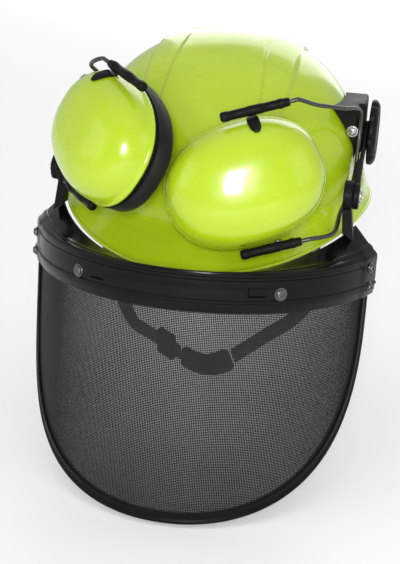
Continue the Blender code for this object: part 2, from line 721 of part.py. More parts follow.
for side, s in SIDES:
    fr = cup_frame(side)
    c, e1, e2, n = fr
    pc = tilt_mid(side)
    # hard cup: hollow, open towards the cushion
    ro = dome_rings(fr, H0, CUP_D, CUP_A, CUP_B, 9)
    ri = dome_rings(fr, H0, CUP_D - 2.4, CUP_A - 2.4, CUP_B - 2.4, 8)
    rings = list(reversed(ro)) + ri
    v, f = loft(rings)
    make("cup_shell_" + side, v, f, LIME, sharp=40, at=pc)
    # back plate: a ring that closes the cup's rim
    o = [[place(fr, x, y, h) for x, y in egg(1.0, grow=g)] for g, h in
         ((0.6, CUSH_T + GAP), (0.6, CUSH_T + GAP + PLATE_T), (-14.0, CUSH_T + GAP + PLATE_T), (-14.0, CUSH_T + GAP))]
    v, f = loft(o, wrap=True)
    make("cup_plate_" + side, v, f, BLACK, sharp=30, at=pc)
    # cushion ring
    sec = [(-3.0, 0.0), (0.6, 3.2), (1.6, 7.5), (1.0, 12.0), (-1.2, CUSH_T), (-13.5, CUSH_T), (-16.5, 11.0),
           (-17.2, 6.0), (-14.5, 1.6), (-8.5, -0.6)]
    o = [[place(fr, x, y, h) for x, y in egg(1.0, grow=g)] for g, h in sec]
    v, f = loft(o, wrap=True)
    make("cup_cushion_" + side, v, f, LEATH, sharp=60, at=pc)
    # foam liner inside the cup
    o = [[place(fr, x, y, h) for x, y in egg(1.0, grow=g, k=20)] for g, h in
         ((-5.6, H0 + 0.6), (-5.2, H0 + 5.0), (-8.0, H0 + 12.0), (-13.0, H0 + 16.0))]
    v, f = loft(o)
    make("cup_foam_" + side, v, f, FOAM, sharp=40, at=pc)

    # sleeves, pivot stubs and the wire fork, in the fork's own frame
    q = FORKS[side]
    for tag, sg in (("upper", 1.0), ("lower", -1.0)):
        u0, u1, t, h = q[tag]
        # blind tube: outer skin, open end towards the block
        prof = [(2.2, u0), (SLV_R, u0 + 1.3), (SLV_R, u1 - 1.0), (2.9, u1), (1.9, u1), (1.9, u0 + 3.0)]
        v, f = lathe(prof, fork_pt(side, 0.0, t, h), fork_axes(side)[0], sides=14)
        make("fork_sleeve_%s_%s" % (tag, side), v, f, BLACK, sharp=35, at=tilt_mid(side))
        if tag == "upper":
            # lug: a hooked tab between sleeve and dome that follows the dome's side
            c0 = fork_pt(side, q["pin"], t, h)
            uc = np.dot(c0 - c, e1)
            vc = np.dot(c0 - c, e2)
            edge = (1 - (abs(uc) / CUP_A) ** CUP_E) ** (1 / CUP_E)
            inn, out = [], []
            for hh in (h - 4.5, h - 1.5, h + 1.5, h + 4.5, h + 8.0, h + 11.0):
                half = (CUP_B * edge) * (1 - (max(hh - H0, 0.0) / CUP_D) ** CUP_N) ** (1 / CUP_N)
                inn.append((half + 0.55, hh))
                reach = math.sqrt(max((SLV_R + GAP + 0.1) ** 2 - (hh - h) ** 2, 0.0))
                out.append((min(half + 2.6, vc - reach - 0.15 - 4.0 * abs(q["along"][1])), hh))
            ring = inn + out[::-1]
            m_ = len(ring)
            tw = (2.8, 4.0, 4.0, 4.0, 3.6, 2.2)
            tw = tw + tw[::-1]
            vv = [place(fr, uc - w_, y, z) for (y, z), w_ in zip(ring, tw)] + [place(fr, uc + w_, y, z) for (y, z), w_ in zip(ring, tw)]
            k2 = len(inn)
            ff = []
            for i in range(k2 - 1):
                ff.append((i, i + 1, m_ - 2 - i, m_ - 1 - i))
                ff.append((m_ + i, m_ + m_ - 1 - i, m_ + m_ - 2 - i, m_ + i + 1))
            ff += [(i, m_ + i, m_ + (i + 1) % m_, (i + 1) % m_) for i in range(m_)]
            make("cup_pin_%s_%s" % (tag, side), vv, ff, BLACK, sharp=35, at=tilt_mid(side))
        else:
            c0 = fork_pt(side, q["pin"], t, h)
            uc, vc = np.dot(c0 - c, e1), np.dot(c0 - c, e2)
            edge = (1 - (abs(uc) / (CUP_A + 1.0)) ** CUP_E) ** (1 / CUP_E)
            root = -(CUP_B + 1.7) * edge - 0.45
            tip = vc + SLV_R + GAP + 0.1
            v, f = lathe([(2.2, 0.0), (2.2, max(root - tip, 0.5))], place(fr, uc, root, h), -e2, sides=10)
            make("cup_pin_%s_%s" % (tag, side), v, f, STEEL, sharp=35, at=tilt_mid(side))

    uu, lo = q["upper"], q["lower"]
    up_in, lo_in = fork_pt(side, uu[0] + 12.0, uu[2], uu[3]), fork_pt(side, lo[0] + 12.0, lo[2], lo[3])
    up_a, up_b = fork_pt(side, uu[1] + 2.5, uu[2], uu[3]), fork_pt(side, uu[1] + 6.0, uu[2], uu[3])
    lo_a, lo_b = fork_pt(side, lo[1] + 2.5, lo[2], lo[3]), fork_pt(side, lo[1] + 6.0, lo[2], lo[3])
    if side == "left":
        mid_lo = [(91.0, -117.5, 33.5), (96.0, -107, 32.5), (97.5, -95, 31.5), (97.6, -82, 32.0), (97.8, -70, 34.5), (99.5, -59, 39), (102.3, -46, 46.0), (103.8, -33, 55), (104.0, -27, 66), (104.0, -25, 77)]
        mid_up = [(103.8, -28, 99), (100.5, -40, 104.5), (94.5, -57, 108), (86.0, -74, 112.5), (77.0, -90, 117.0)]
    else:
        mid_lo = [(-97.2, -84.5, 48.0), (-95.8, -74, 49.0), (-97.0, -58, 50.5), (-100.6, -44, 56.5), (-103.5, -31, 70.0)]
        mid_up = [(-104.0, -26.5, 97), (-101.0, -31, 103), (-92.0, -39, 110), (-85.0, -52, 116.5), (-85.2, -70, 126.0), (-79.8, -80.5, 131.8), (-72.0, -88.0, 135.5)]
    apex = (s * 104.0, SWIVEL_Y - 9.2, SWIVEL_Z)
    route = [np.array(q, float) for q in mid_lo] + [np.array(apex, float)] + [np.array(q, float) for q in mid_up]
    pts = [lo_in] + catmull([lo_a, lo_b] + route + [up_b, up_a], 4) + [up_in]
    tube_object("muff_fork_" + side, pts, 1.5, STEEL, at=(s * 103.7, SWIVEL_Y, SWIVEL_Z), res=2)
    # swivel that carries the fork on the slot block
    v, f = lathe([(6.4, 0.0), (7.0, 0.5), (7.0, 2.2), (6.2, 2.8)], (s * (BLOCK_X + GAP), SWIVEL_Y, SWIVEL_Z), (s, 0, 0), sides=20)
    make("muff_swivel_" + side, v, f, BLACK, sharp=30, at=(s * BLOCK_X, SWIVEL_Y, SWIVEL_Z))


# ================================================================ head harness
def band_ring(a0, a1, n, half_w, f, r, z_fn, thick, height):
    """A flexible band standing on edge, following an egg-shaped plan from a0 to a1 degrees."""
    rings = []
    for i in range(n):
        a = math.radians(a0 + (a1 - a0) * i / (n - 1))
        q = plan_point(a, half_w, f, r)
        d = unit(np.array([q[0], q[1] * (half_w / (f if math.sin(a) < 0 else r)) ** 2, 0]))
        z = z_fn(a)
        p = np.array([q[0], q[1], z])
        up = np.array([0, 0, 1.0])
        h, t = height(a) if callable(height) else height, thick
        rings.append([p + up * h / 2, p + d * t + up * h / 2, p + d * t - up * h / 2, p - up * h / 2])
    return rings


HB_W, HB_F, HB_R = 78.0, 97.0, 99.0
HB_H, HB_T = 26.0, 2.0


def hb_z(a):
    return -6.0 - 13.0 * math.sin(a) ** 2


v, f = loft(band_ring(-195, 15, 31, HB_W, HB_F, HB_R, hb_z, HB_T, HB_H))
make("headband", v, f, BLACK, sharp=40)
v, f = loft(band_ring(-150, -30, 21, HB_W - 4.4, HB_F - 4.4, HB_R, hb_z, 4.0, 30.0))
make("sweatband", v, f, LEATH, sharp=60)
# nape strap: overlaps the headband's ends on the outside and slides over them
v, f = loft(band_ring(2, 178, 27, HB_W + HB_T + 1.7, HB_F, HB_R + HB_T + 3.4, lambda a: hb_z(a) - 4.0 * math.sin(a) ** 2, 2.0,
                      lambda a: 18.0 + 14.0 * smooth01((math.sin(a) - 0.5) * 2)))
make("nape_strap", v, f, BLACK, sharp=40)
HOUSE_Y = HB_R + HB_T + 3.4 + 2.0 + GAP
NAPE_Z = -23.0
v, f = basis_prism((0, HOUSE_Y + 0.6, NAPE_Z), np.array([1.0, 0, 0]), np.array([0, 0, 1.0]), np.array([0, 1.0, 0]),
                   rounded_rect(58, 27, 9), 0.0, 8.0, 1.4)
make("ratchet_housing", v, f, BLACK, sharp=30)
knob = []
for i in range(36):
    t = 2 * math.pi * i / 36
    r = 14.5 if i % 3 else 13.2
    knob.append((r * math.cos(t), r * math.sin(t)))
v, f = basis_prism((0, HOUSE_Y + 0.6, NAPE_Z), np.array([1.0, 0, 0]), np.array([0, 0, 1.0]), np.array([0, 1.0, 0]), knob,
                   8.0 + GAP, 19.0, 1.4)
make("ratchet_knob", v, f, GREY, sharp=30, at=(0, HOUSE_Y + 8.6, NAPE_Z))


# crown cradle: two webbing straps that cross over the head, hooked into the shell
def arc_strap(name, a_deg, lift, width, thick, n=21):
    a = math.radians(a_deg)
    d = np.array([math.cos(a), math.sin(a), 0])
    side_v = np.array([-math.sin(a), math.cos(a), 0])
    rings = []
    for i in range(n):
        t = math.pi * (0.035 + 0.93 * i / (n - 1))
        rx = 1.0 / math.sqrt((d[0] / 88.0) ** 2 + (d[1] / 100.0) ** 2)
        p = d * rx * math.cos(t) + np.array([0, 8.0 * math.sin(t), 24.0 + (76.0 + lift) * math.sin(t)])
        tn = -d * rx * math.sin(t) + np.array([0, 8.0 * math.cos(t), (76.0 + lift) * math.cos(t)])
        nn = unit(np.cross(tn, side_v))
        if nn[2] < 0:
            nn = -nn
        rings.append([p + side_v * width / 2 + nn * thick, p - side_v * width / 2 + nn * thick,
                      p - side_v * width / 2, p + side_v * width / 2])
    return loft(rings), rings[0], rings[-1]


CLIPS = []
for name, ang, lift in (("crown_strap_a", 42.0, 0.0), ("crown_strap_b", 138.0, 3.2)):
    (v, f), r0, r1 = arc_strap(name, ang, lift, 19.0, 1.6)
    make(name, v, f, WEB, sharp=50)
    for tag, r, sg in (("front" if ang > 90 else "rear", r0, 1.0), ("rear" if ang > 90 else "front", r1, -1.0)):
        CLIPS.append((name[-1] + "_" + tag, np.mean(r, axis=0), ang, sg))
for tag, p, ang, sg in CLIPS:
    a = math.radians(ang)
    d = np.array([math.cos(a), math.sin(a), 0]) * sg
    sv = np.array([-math.sin(a), math.cos(a), 0])
    v, f = basis_prism(p + np.array([0, 0, -GAP - 0.1]) + d * -1.0, d, sv, np.array([0, 0, -1.0]), rounded_rect(6.0, 24.0, 1.6, 2), 0.6, 15.0, 0.8)
    make("hanger_" + tag, v, f, BLACK, sharp=30)

# chin strap: webbing from both temples to an adjuster, with a soft chin pad
def strap(name, pts, width, thick, look, nrm, per=5, straight=()):
    path = catmull(pts, per) + [np.asarray(q, float) for q in straight]
    sec = [(-width / 2, 0), (width / 2, 0), (width / 2, thick), (-width / 2, thick)]
    v, f = sweep(path, sec, nrm)
    make(name, v, f, look, sharp=50)


for side, s in SIDES:
    a0 = math.radians(-16)
    q = plan_point(a0, HB_W, HB_F, HB_R)
    d = unit(np.array([q[0], q[1] * (HB_W / HB_F) ** 2, 0]))
    tv = np.array([-d[1], d[0], 0])
    c = np.array([q[0], q[1], -9.0]) + d * (HB_T + 2 * GAP)
    v, f = basis_prism(mir(s, c), mir(s, tv), np.array([0, 0, 1.0]), mir(s, d), rounded_rect(22, 20, 4), 0.0, 2.6, 0.6)
    make("strap_anchor_" + side, v, f, BLACK, sharp=30)
CH_A = np.array([-46.0, -35.6, -88.6])       # straight run of webbing that carries the adjuster
CH_B = np.array([-15.0, -53.0, -95.6])
CH_D = unit(CH_B - CH_A)
strap("chin_strap_left", [(80.6, -22, -22.5), (79.0, -21, -40), (69.0, -24, -65), (46, -38, -80.5), (24.5, -52.6, -93.5)], 15.0, 1.6, WEB, (0.5, -0.78, -0.3))
strap("chin_strap_right", [(-80.6, -22, -22.5), (-79.0, -21, -42), (-70, -24, -66), (-58, -30.5, -84.5), tuple(CH_A)], 15.0, 1.6, WEB, (-0.35, -0.85, -0.35),
      straight=[CH_A + (CH_B - CH_A) * t for t in (0.1, 0.5, 1.0)])
# soft chin pad between the two webbing ends
pad = catmull([(-13.6, -53.9, -96.2), (-4, -57.0, -98.6), (6, -58.0, -99.6), (15, -56.6, -97.8), (23.4, -53.4, -94.2)], 3)
sec = [(-11, 0.3), (-12, 2.4), (-11, 4.6), (11, 4.6), (12, 2.4), (11, 0.3)]
v, f = sweep(pad, sec, (0.0, -0.94, -0.34))
make("chin_pad", v, f, LEATH, sharp=50)
# ladder adjuster: a flat rectangular loop that slides on the webbing
mid = CH_A * 0.42 + CH_B * 0.58
nrm = np.array([-0.35, -0.85, -0.35])
side_v = unit(np.cross(CH_D, nrm))
up_v = np.cross(side_v, CH_D)
mid = mid + up_v * 0.8
rings = []
for w, h, l in ((23.0, 6.4, -8.0), (24.0, 7.4, -7.0), (24.0, 7.4, 7.0), (23.0, 6.4, 8.0), (16.8, 3.0, 8.0), (16.8, 3.0, -8.0)):
    rings.append([mid + side_v * x + up_v * y + CH_D * l for x, y in
                  ((w / 2, h / 2), (-w / 2, h / 2), (-w / 2, -h / 2), (w / 2, -h / 2))])
v, f = loft(rings, wrap=True)
make("strap_adjuster", v, f, BLACK, sharp=30, at=mid)
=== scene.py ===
import math

import bmesh
import bpy
import numpy as np
from mathutils import Matrix, Vector


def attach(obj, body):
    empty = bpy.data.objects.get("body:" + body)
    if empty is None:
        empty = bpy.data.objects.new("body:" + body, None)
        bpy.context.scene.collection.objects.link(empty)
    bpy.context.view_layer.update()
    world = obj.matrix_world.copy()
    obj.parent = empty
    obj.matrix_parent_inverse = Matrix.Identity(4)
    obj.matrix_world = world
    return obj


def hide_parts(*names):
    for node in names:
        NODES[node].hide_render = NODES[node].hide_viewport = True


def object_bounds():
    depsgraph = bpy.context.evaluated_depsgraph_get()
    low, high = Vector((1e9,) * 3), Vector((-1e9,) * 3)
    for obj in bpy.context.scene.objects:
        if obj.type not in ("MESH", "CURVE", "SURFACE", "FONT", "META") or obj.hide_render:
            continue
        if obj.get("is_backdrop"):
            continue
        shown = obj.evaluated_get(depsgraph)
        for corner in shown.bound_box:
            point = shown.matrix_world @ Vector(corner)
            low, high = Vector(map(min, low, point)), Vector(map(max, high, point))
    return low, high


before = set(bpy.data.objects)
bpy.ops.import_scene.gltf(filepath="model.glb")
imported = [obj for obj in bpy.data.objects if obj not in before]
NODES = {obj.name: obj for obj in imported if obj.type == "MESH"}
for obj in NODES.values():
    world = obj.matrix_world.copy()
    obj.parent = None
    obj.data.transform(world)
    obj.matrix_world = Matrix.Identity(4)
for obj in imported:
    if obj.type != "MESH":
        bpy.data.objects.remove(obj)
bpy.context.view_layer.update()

MM = 0.001
GAP = 0.35

# ---------------------------------------------------------------- sizes, mm, as in the CAD model
SHELL_W, SHELL_F, SHELL_R, SHELL_TOP, SHELL_Z0, SHELL_N, CROWN_Y = 112.0, 112.0, 124.0, 138.0, 10.0, 2.35, 22.0
RIM_W, RIM_F, RIM_R = 115.3, 143.0, 129.0
RIM_Z_FRONT, RIM_Z_SIDE, RIM_Z_REAR = 5.0, 26.0, 14.0
WALL, FLAT_X = 2.6, 100.0
KNOB_Y, KNOB_Z, KNOB_R = 8.0, 75.5, 24.5
ARM_X = 106.4
BOSS_Y, BOSS_Z, BOSS_R = -75.0, 51.0, 10.5
BLOCK_X = 102.0
PAD_RISE = 4.05
SWIVEL_Y, SWIVEL_Z = -14.0, 88.0
VIS_A, VIS_B, VIS_Y, VIS_Z, VIS_TILT = 129.5, 146.0, -15.0, -17.0, 7.0
VIS_H, VIS_T, VIS_STRAIGHT, VIS_POW, BT = 167.5, 70.0, 32.0, 2.25, 72.0
CUP_A, CUP_B, CUP_E, CUP_D, CUP_N = 54.0, 41.0, 2.3, 35.0, 2.5
CUSH_T, PLATE_T = 14.5, 3.0
PIV_H = CUSH_T + PLATE_T + 6.5
SLV_V = CUP_B + 7.0
H0 = CUSH_T + PLATE_T + 2 * GAP
HB_W, HB_F, HB_R, HB_T = 78.0, 97.0, 99.0, 2.0


def unit(v):
    v = np.asarray(v, float)
    return v / np.linalg.norm(v)


CUPS = {
    "left": (np.array([31.9, -100.6, 60.3]), unit([0.193, -0.933, 0.304]), unit([0.896, 0.294, 0.333])),
    "right": (np.array([-46.6, -96.6, 76.8]), unit([-0.685, -0.595, 0.42]), unit([-0.541, 0.802, 0.254])),
}
SIDES = (("left", 1.0), ("right", -1.0))


# ================================================================ materials
def new_mat(name, color, rough, metal=0.0, coat=0.0, coat_rough=0.08, sheen=0.0, spec=0.5):
    m = bpy.data.materials.new(name)
    m.use_nodes = True
    nt = m.node_tree
    b = nt.nodes["Principled BSDF"]
    b.inputs["Base Color"].default_value = (*color, 1.0)
    b.inputs["Roughness"].default_value = rough
    b.inputs["Metallic"].default_value = metal
    b.inputs["Coat Weight"].default_value = coat
    b.inputs["Coat Roughness"].default_value = coat_rough
    b.inputs["Sheen Weight"].default_value = sheen
    b.inputs["Specular IOR Level"].default_value = spec
    return m, nt, b


def noise(nt, coord, scale, detail=4.0, rough=0.55):
    n = nt.nodes.new("ShaderNodeTexNoise")
    n.inputs["Scale"].default_value = scale
    n.inputs["Detail"].default_value = detail
    n.inputs["Roughness"].default_value = rough
    nt.links.new(coord, n.inputs["Vector"])
    return n.outputs["Fac"]


def objco(nt):
    return nt.nodes.new("ShaderNodeTexCoord").outputs["Object"]


def ramp(nt, fac, stops):
    r = nt.nodes.new("ShaderNodeValToRGB")
    el = r.color_ramp.elements
    while len(el) < len(stops):
        el.new(0.5)
    for e, (p, c) in zip(el, stops):
        e.position = p
        e.color = (*c, 1.0)
    nt.links.new(fac, r.inputs["Fac"])
    return r.outputs["Color"]


def mrange(nt, fac, lo, hi, a=0.3, b=0.7):
    r = nt.nodes.new("ShaderNodeMapRange")
    r.inputs["From Min"].default_value = a
    r.inputs["From Max"].default_value = b
    r.inputs["To Min"].default_value = lo
    r.inputs["To Max"].default_value = hi
    nt.links.new(fac, r.inputs["Value"])
    return r.outputs["Result"]


def bump(nt, b, height, strength, dist):
    n = nt.nodes.new("ShaderNodeBump")
    n.inputs["Strength"].default_value = strength
    n.inputs["Distance"].default_value = dist
    nt.links.new(height, n.inputs["Height"])
    nt.links.new(n.outputs["Normal"], b.inputs["Normal"])
    return n


def math_node(nt, op, a, b=None, val=None):
    n = nt.nodes.new("ShaderNodeMath")
    n.operation = op
    nt.links.new(a, n.inputs[0])
    if b is not None:
        nt.links.new(b, n.inputs[1])
    if val is not None:
        n.inputs[1].default_value = val
    return n.outputs[0]


def mix_color(nt, fac, a, b):
    n = nt.nodes.new("ShaderNodeMix")
    n.data_type = "RGBA"
    nt.links.new(fac, n.inputs[0])
    for sock, c in ((n.inputs[6], a), (n.inputs[7], b)):
        if isinstance(c, tuple):
            sock.default_value = (*c, 1.0)
        else:
            nt.links.new(c, sock)
    return n.outputs[2]


def lime_plastic(name, base, dark, light):
    """Glossy moulded ABS: faint flow mottling, orange-peel in the gloss, scuffs in the roughness."""
    m, nt, b = new_mat(name, base, 0.24, coat=0.45, coat_rough=0.09, spec=0.5)
    co = objco(nt)
    big = noise(nt, co, 14.0, 3.0)
    fine = noise(nt, co, 420.0, 2.0)
    b_col = ramp(nt, big, [(0.25, dark), (0.5, base), (0.8, light)])
    speck = nt.nodes.new("ShaderNodeTexVoronoi")
    speck.inputs["Scale"].default_value = 210.0
    nt.links.new(co, speck.inputs["Vector"])
    near = mrange(nt, speck.outputs["Distance"], 1.0, 0.0, 0.02, 0.10)
    gate = mrange(nt, noise(nt, co, 95.0, 1.0), 0.0, 0.55, 0.60, 0.72)
    dust = math_node(nt, "MULTIPLY", near, gate)
    nt.links.new(mix_color(nt, dust, b_col, tuple(c * 0.55 for c in base)), b.inputs["Base Color"])
    scuff = noise(nt, co, 60.0, 8.0, 0.7)
    nt.links.new(mrange(nt, scuff, 0.16, 0.36, 0.35, 0.72), b.inputs["Roughness"])
    mixh = math_node(nt, "ADD", math_node(nt, "MULTIPLY", fine, val=0.25), math_node(nt, "MULTIPLY", scuff, val=0.5))
    bump(nt, b, mixh, 0.12, 0.0006)
    return m


def black_plastic(name, tone, rough, grain=900.0, strength=0.25, coat=0.0, wear=0.35):
    """Moulded nylon or ABS: fine spark-eroded grain, paler rubbed edges, patchy sheen."""
    m, nt, b = new_mat(name, (tone, tone, tone * 0.97), rough, coat=coat, coat_rough=0.12, spec=0.10)
    co = objco(nt)
    big = noise(nt, co, 38.0, 5.0, 0.62)
    fine = noise(nt, co, grain, 3.0)
    geo = nt.nodes.new("ShaderNodeNewGeometry")
    edge = mrange(nt, geo.outputs["Pointiness"], 0.0, wear, 0.515, 0.60)
    base = ramp(nt, big, [(0.3, (tone * 0.75,) * 3), (0.6, (tone * 1.1, tone * 1.1, tone * 1.08)), (0.8, (tone * 1.7,) * 3)])
    nt.links.new(mix_color(nt, math_node(nt, "MULTIPLY", edge, big), base, (tone * 5, tone * 5, tone * 4.8)), b.inputs["Base Color"])
    nt.links.new(mrange(nt, big, rough - 0.07, rough + 0.14, 0.3, 0.7), b.inputs["Roughness"])
    bump(nt, b, fine, strength, 0.0002)
    return m


def steel(name, tone=0.42, rough=0.3):
    m, nt, b = new_mat(name, (tone, tone, tone * 0.97), rough, metal=1.0)
    co = objco(nt)
    streak = nt.nodes.new("ShaderNodeMapping")
    streak.inputs["Scale"].default_value = (60, 900, 900)
    nt.links.new(co, streak.inputs["Vector"])
    s = noise(nt, streak.outputs["Vector"], 1.0, 4.0)
    spots = noise(nt, co, 220.0, 6.0, 0.7)
    nt.links.new(ramp(nt, spots, [(0.35, (tone,) * 3), (0.62, (tone * 0.8, tone * 0.78, tone * 0.74)), (0.78, (tone * 0.42, tone * 0.36, tone * 0.3))]),
                 b.inputs["Base Color"])
    nt.links.new(mrange(nt, s, rough - 0.08, rough + 0.18, 0.3, 0.7), b.inputs["Roughness"])
    bump(nt, b, s, 0.12, 0.0001)
    return m


def skin(name, tone=0.018, rough=0.5):
    """Soft PVC skin: pebble grain, creases, slightly dusty."""
    m, nt, b = new_mat(name, (tone,) * 3, rough, sheen=0.04, spec=0.16)
    co = objco(nt)
    v = nt.nodes.new("ShaderNodeTexVoronoi")
    v.inputs["Scale"].default_value = 900.0
    nt.links.new(co, v.inputs["Vector"])
    big = noise(nt, co, 55.0, 5.0, 0.6)
    crease = noise(nt, co, 160.0, 7.0, 0.7)
    nt.links.new(ramp(nt, big, [(0.3, (tone * 0.8,) * 3), (0.6, (tone * 1.3,) * 3), (0.85, (tone * 2.6, tone * 2.5, tone * 2.3))]), b.inputs["Base Color"])
    nt.links.new(mrange(nt, crease, rough - 0.12, rough + 0.15), b.inputs["Roughness"])
    h = math_node(nt, "ADD", math_node(nt, "MULTIPLY", v.outputs["Distance"], val=0.5), crease)
    bump(nt, b, h, 0.35, 0.0004)
    return m


def foam_mat(name, tone=0.07):
    m, nt, b = new_mat(name, (tone,) * 3, 0.95, sheen=0.3, spec=0.2)
    co = objco(nt)
    v = nt.nodes.new("ShaderNodeTexVoronoi")
    v.inputs["Scale"].default_value = 620.0
    nt.links.new(co, v.inputs["Vector"])
    nt.links.new(ramp(nt, v.outputs["Distance"], [(0.1, (tone * 1.5,) * 3), (0.5, (tone,) * 3), (0.9, (tone * 0.3,) * 3)]), b.inputs["Base Color"])
    bump(nt, b, v.outputs["Distance"], 0.9, 0.0006)
    return m


def webbing(name, tone=0.03, light=1.0):
    """Woven tape: crosswise ribs with a herringbone lean; colour follows the rib height, with painted shade in the
    troughs and painted highlight mixed with fuzz noise on the crowns. UV x runs along, y across, in mm.
    """
    m, nt, b = new_mat(name, (tone * light,) * 3, 0.85, sheen=0.35, spec=0.25)
    uv = nt.nodes.new("ShaderNodeUVMap")
    uv.uv_map = "strap"
    sep = nt.nodes.new("ShaderNodeSeparateXYZ")
    nt.links.new(uv.outputs["UV"], sep.inputs[0])
    x, y = sep.outputs["X"], sep.outputs["Y"]
    lean = math_node(nt, "ADD", x, math_node(nt, "MULTIPLY", math_node(nt, "PINGPONG", y, val=2.4), val=0.55))
    ribs = math_node(nt, "SINE", math_node(nt, "MULTIPLY", lean, val=2 * math.pi / 1.5))
    ends = math_node(nt, "SINE", math_node(nt, "MULTIPLY", y, val=2 * math.pi / 0.95))
    h = math_node(nt, "ADD", math_node(nt, "MULTIPLY", ribs, val=0.35), math_node(nt, "MULTIPLY", ends, val=0.25))
    fz = noise(nt, objco(nt), 700.0, 3.0)
    hh = math_node(nt, "ADD", h, math_node(nt, "MULTIPLY", fz, val=0.5))
    # painted shade and highlight: colour darkens in the rib troughs and lightens on the rib crowns, with fuzz noise
    # mixed in
    nt.links.new(ramp(nt, mrange(nt, hh, 0.0, 1.0, -0.4, 0.9), [(0.1, (tone * 0.5,) * 3), (0.55, (tone * light,) * 3), (0.95, (tone * 2.2 * light,) * 3)]),
                 b.inputs["Base Color"])
    bump(nt, b, hh, 0.8, 0.0004)
    return m


def mesh_mat(name):
    m, nt, b = new_mat(name, (0.024, 0.023, 0.022), 0.52, spec=0.08)
    co = objco(nt)
    big = noise(nt, co, 22.0, 4.0)
    fine = noise(nt, co, 1500.0, 2.0)
    nt.links.new(ramp(nt, big, [(0.3, (0.020, 0.019, 0.0185)), (0.6, (0.026, 0.0245, 0.024)), (0.85, (0.038, 0.035, 0.033))]), b.inputs["Base Color"])
    nt.links.new(mrange(nt, fine, 0.38, 0.62), b.inputs["Roughness"])
    bump(nt, b, fine, 0.3, 0.0001)
    return m


LIME = (0.385, 0.545, 0.0085)
M_SHELL = lime_plastic("shell_plastic", LIME, tuple(c * 0.93 for c in LIME), (0.50, 0.69, 0.016))
M_CUP = lime_plastic("cup_plastic", (0.400, 0.565, 0.010), (0.37, 0.525, 0.0085), (0.44, 0.605, 0.014))
M_BLACK = black_plastic("black_moulded", 0.0055, 0.42)
M_KNOB = black_plastic("knob_moulded", 0.0060, 0.38, grain=700.0, strength=0.35)
M_BRACKET = black_plastic("bracket_moulded", 0.0035, 0.22, grain=1400.0, strength=0.08, coat=0.10, wear=0.2)
M_TRIM = black_plastic("trim_strip", 0.0045, 0.36, grain=1100.0, strength=0.15)
M_GREY = black_plastic("harness_plastic", 0.016, 0.45)
M_STEEL = steel("drawn_wire", 0.10, 0.36)
M_SCREW = steel("plated_screw", 0.58, 0.24)
M_DARKSTEEL = steel("dark_screw", 0.16, 0.34)
M_SKIN = skin("cushion_skin", 0.009)
M_PAD = skin("pad_skin", 0.030, 0.6)
M_FOAM = foam_mat("liner_foam")
M_WEB = webbing("webbing_black")
M_WEB2 = webbing("webbing_grey", 0.045, 1.1)
M_MESH = mesh_mat("mesh_coating")


# ================================================================ mesh helpers
def make(name, verts, faces, mat, body, replaces=(), smooth=True, sharp=40.0, sub=0, uv=None, fix=True):
    me = bpy.data.meshes.new(name)
    me.from_pydata([tuple(np.asarray(v, float) * MM) for v in verts], [], faces)
    if uv is not None:
        layer = me.uv_layers.new(name="strap")
        for lp in me.loops:
            layer.data[lp.index].uv = uv[lp.vertex_index]
    if fix:
        bm = bmesh.new()
        bm.from_mesh(me)
        bmesh.ops.recalc_face_normals(bm, faces=bm.faces)
        bm.to_mesh(me)
        bm.free()
    me.materials.append(mat)
    if smooth:
        me.shade_smooth()
        if sharp is not None:
            me.set_sharp_from_angle(angle=math.radians(sharp))
    ob = bpy.data.objects.new(name, me)
    bpy.context.scene.collection.objects.link(ob)
    if sub:
        s = ob.modifiers.new("sub", "SUBSURF")
        s.levels = s.render_levels = sub
    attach(ob, body)
    if replaces:
        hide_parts(*replaces)
    return ob


def loft(rings, closed_ring=True, caps=True, wrap=False):
    m = len(rings[0])
    V = [p for r in rings for p in r]
    F = []
    n = len(rings)
    for i in range(n if wrap else n - 1):
        a, b = i * m, ((i + 1) % n) * m
        for j in range(m if closed_ring else m - 1):
            k = (j + 1) % m
            F.append((a + j, a + k, b + k, b + j))
    if caps and not wrap and closed_ring:
        F.append(tuple(range(m - 1, -1, -1)))
        F.append(tuple((n - 1) * m + j for j in range(m)))
    return V, F


def join(*parts):
    V, F = [], []
    for v, f in parts:
        o = len(V)
        V += list(v)
        F += [tuple(o + i for i in q) for q in f]
    return V, F


def sgn_pow(v, p):
    return math.copysign(abs(v) ** p, v)


def frame_of(axis, up=(0, 0, 1)):
    z = unit(axis)
    u = np.asarray(up, float)
    if abs(np.dot(u, z)) > 0.9:
        u = np.array([0, 1.0, 0])
    x = unit(np.cross(u, z))
    return x, np.cross(z, x), z


def lathe(profile, centre, axis, sides=48, wobble=None, close=False, up=(0, 0, 1)):
    x, y, z = frame_of(axis, up)
    c = np.asarray(centre, float)
    rings = []
    for k, (r, h) in enumerate(profile):
        ring = []
        for i in range(sides):
            a = 2 * math.pi * i / sides
            rr = r + (wobble(a, k) if wobble else 0.0)
            ring.append(c + x * rr * math.cos(a) + y * rr * math.sin(a) + z * h)
        rings.append(ring)
    return loft(rings, wrap=close)


def prism(centre, ex, ey, ez, outline, layers):
    """Stack of scaled outlines; layers are (inset, height)."""
    c = np.asarray(centre, float)
    pts = [np.array(p, float) for p in outline]
    mid = sum(pts) / len(pts)
    rings = []
    for ins, h in layers:
        ring = []
        for p in pts:
            d = p - mid
            L = np.linalg.norm(d)
            q = mid + d * max(0.0, (L - ins) / L)
            ring.append(c + ex * q[0] + ey * q[1] + ez * h)
        rings.append(ring)
    return loft(rings)


def rounded_rect(w, h, r, n=5):
    out = []
    for cx, cy, a0 in ((w / 2 - r, h / 2 - r, 0), (-w / 2 + r, h / 2 - r, 90), (-w / 2 + r, -h / 2 + r, 180), (w / 2 - r, -h / 2 + r, 270)):
        for i in range(n + 1):
            a = math.radians(a0 + 90.0 * i / n)
            out.append((cx + r * math.cos(a), cy + r * math.sin(a)))
    return out


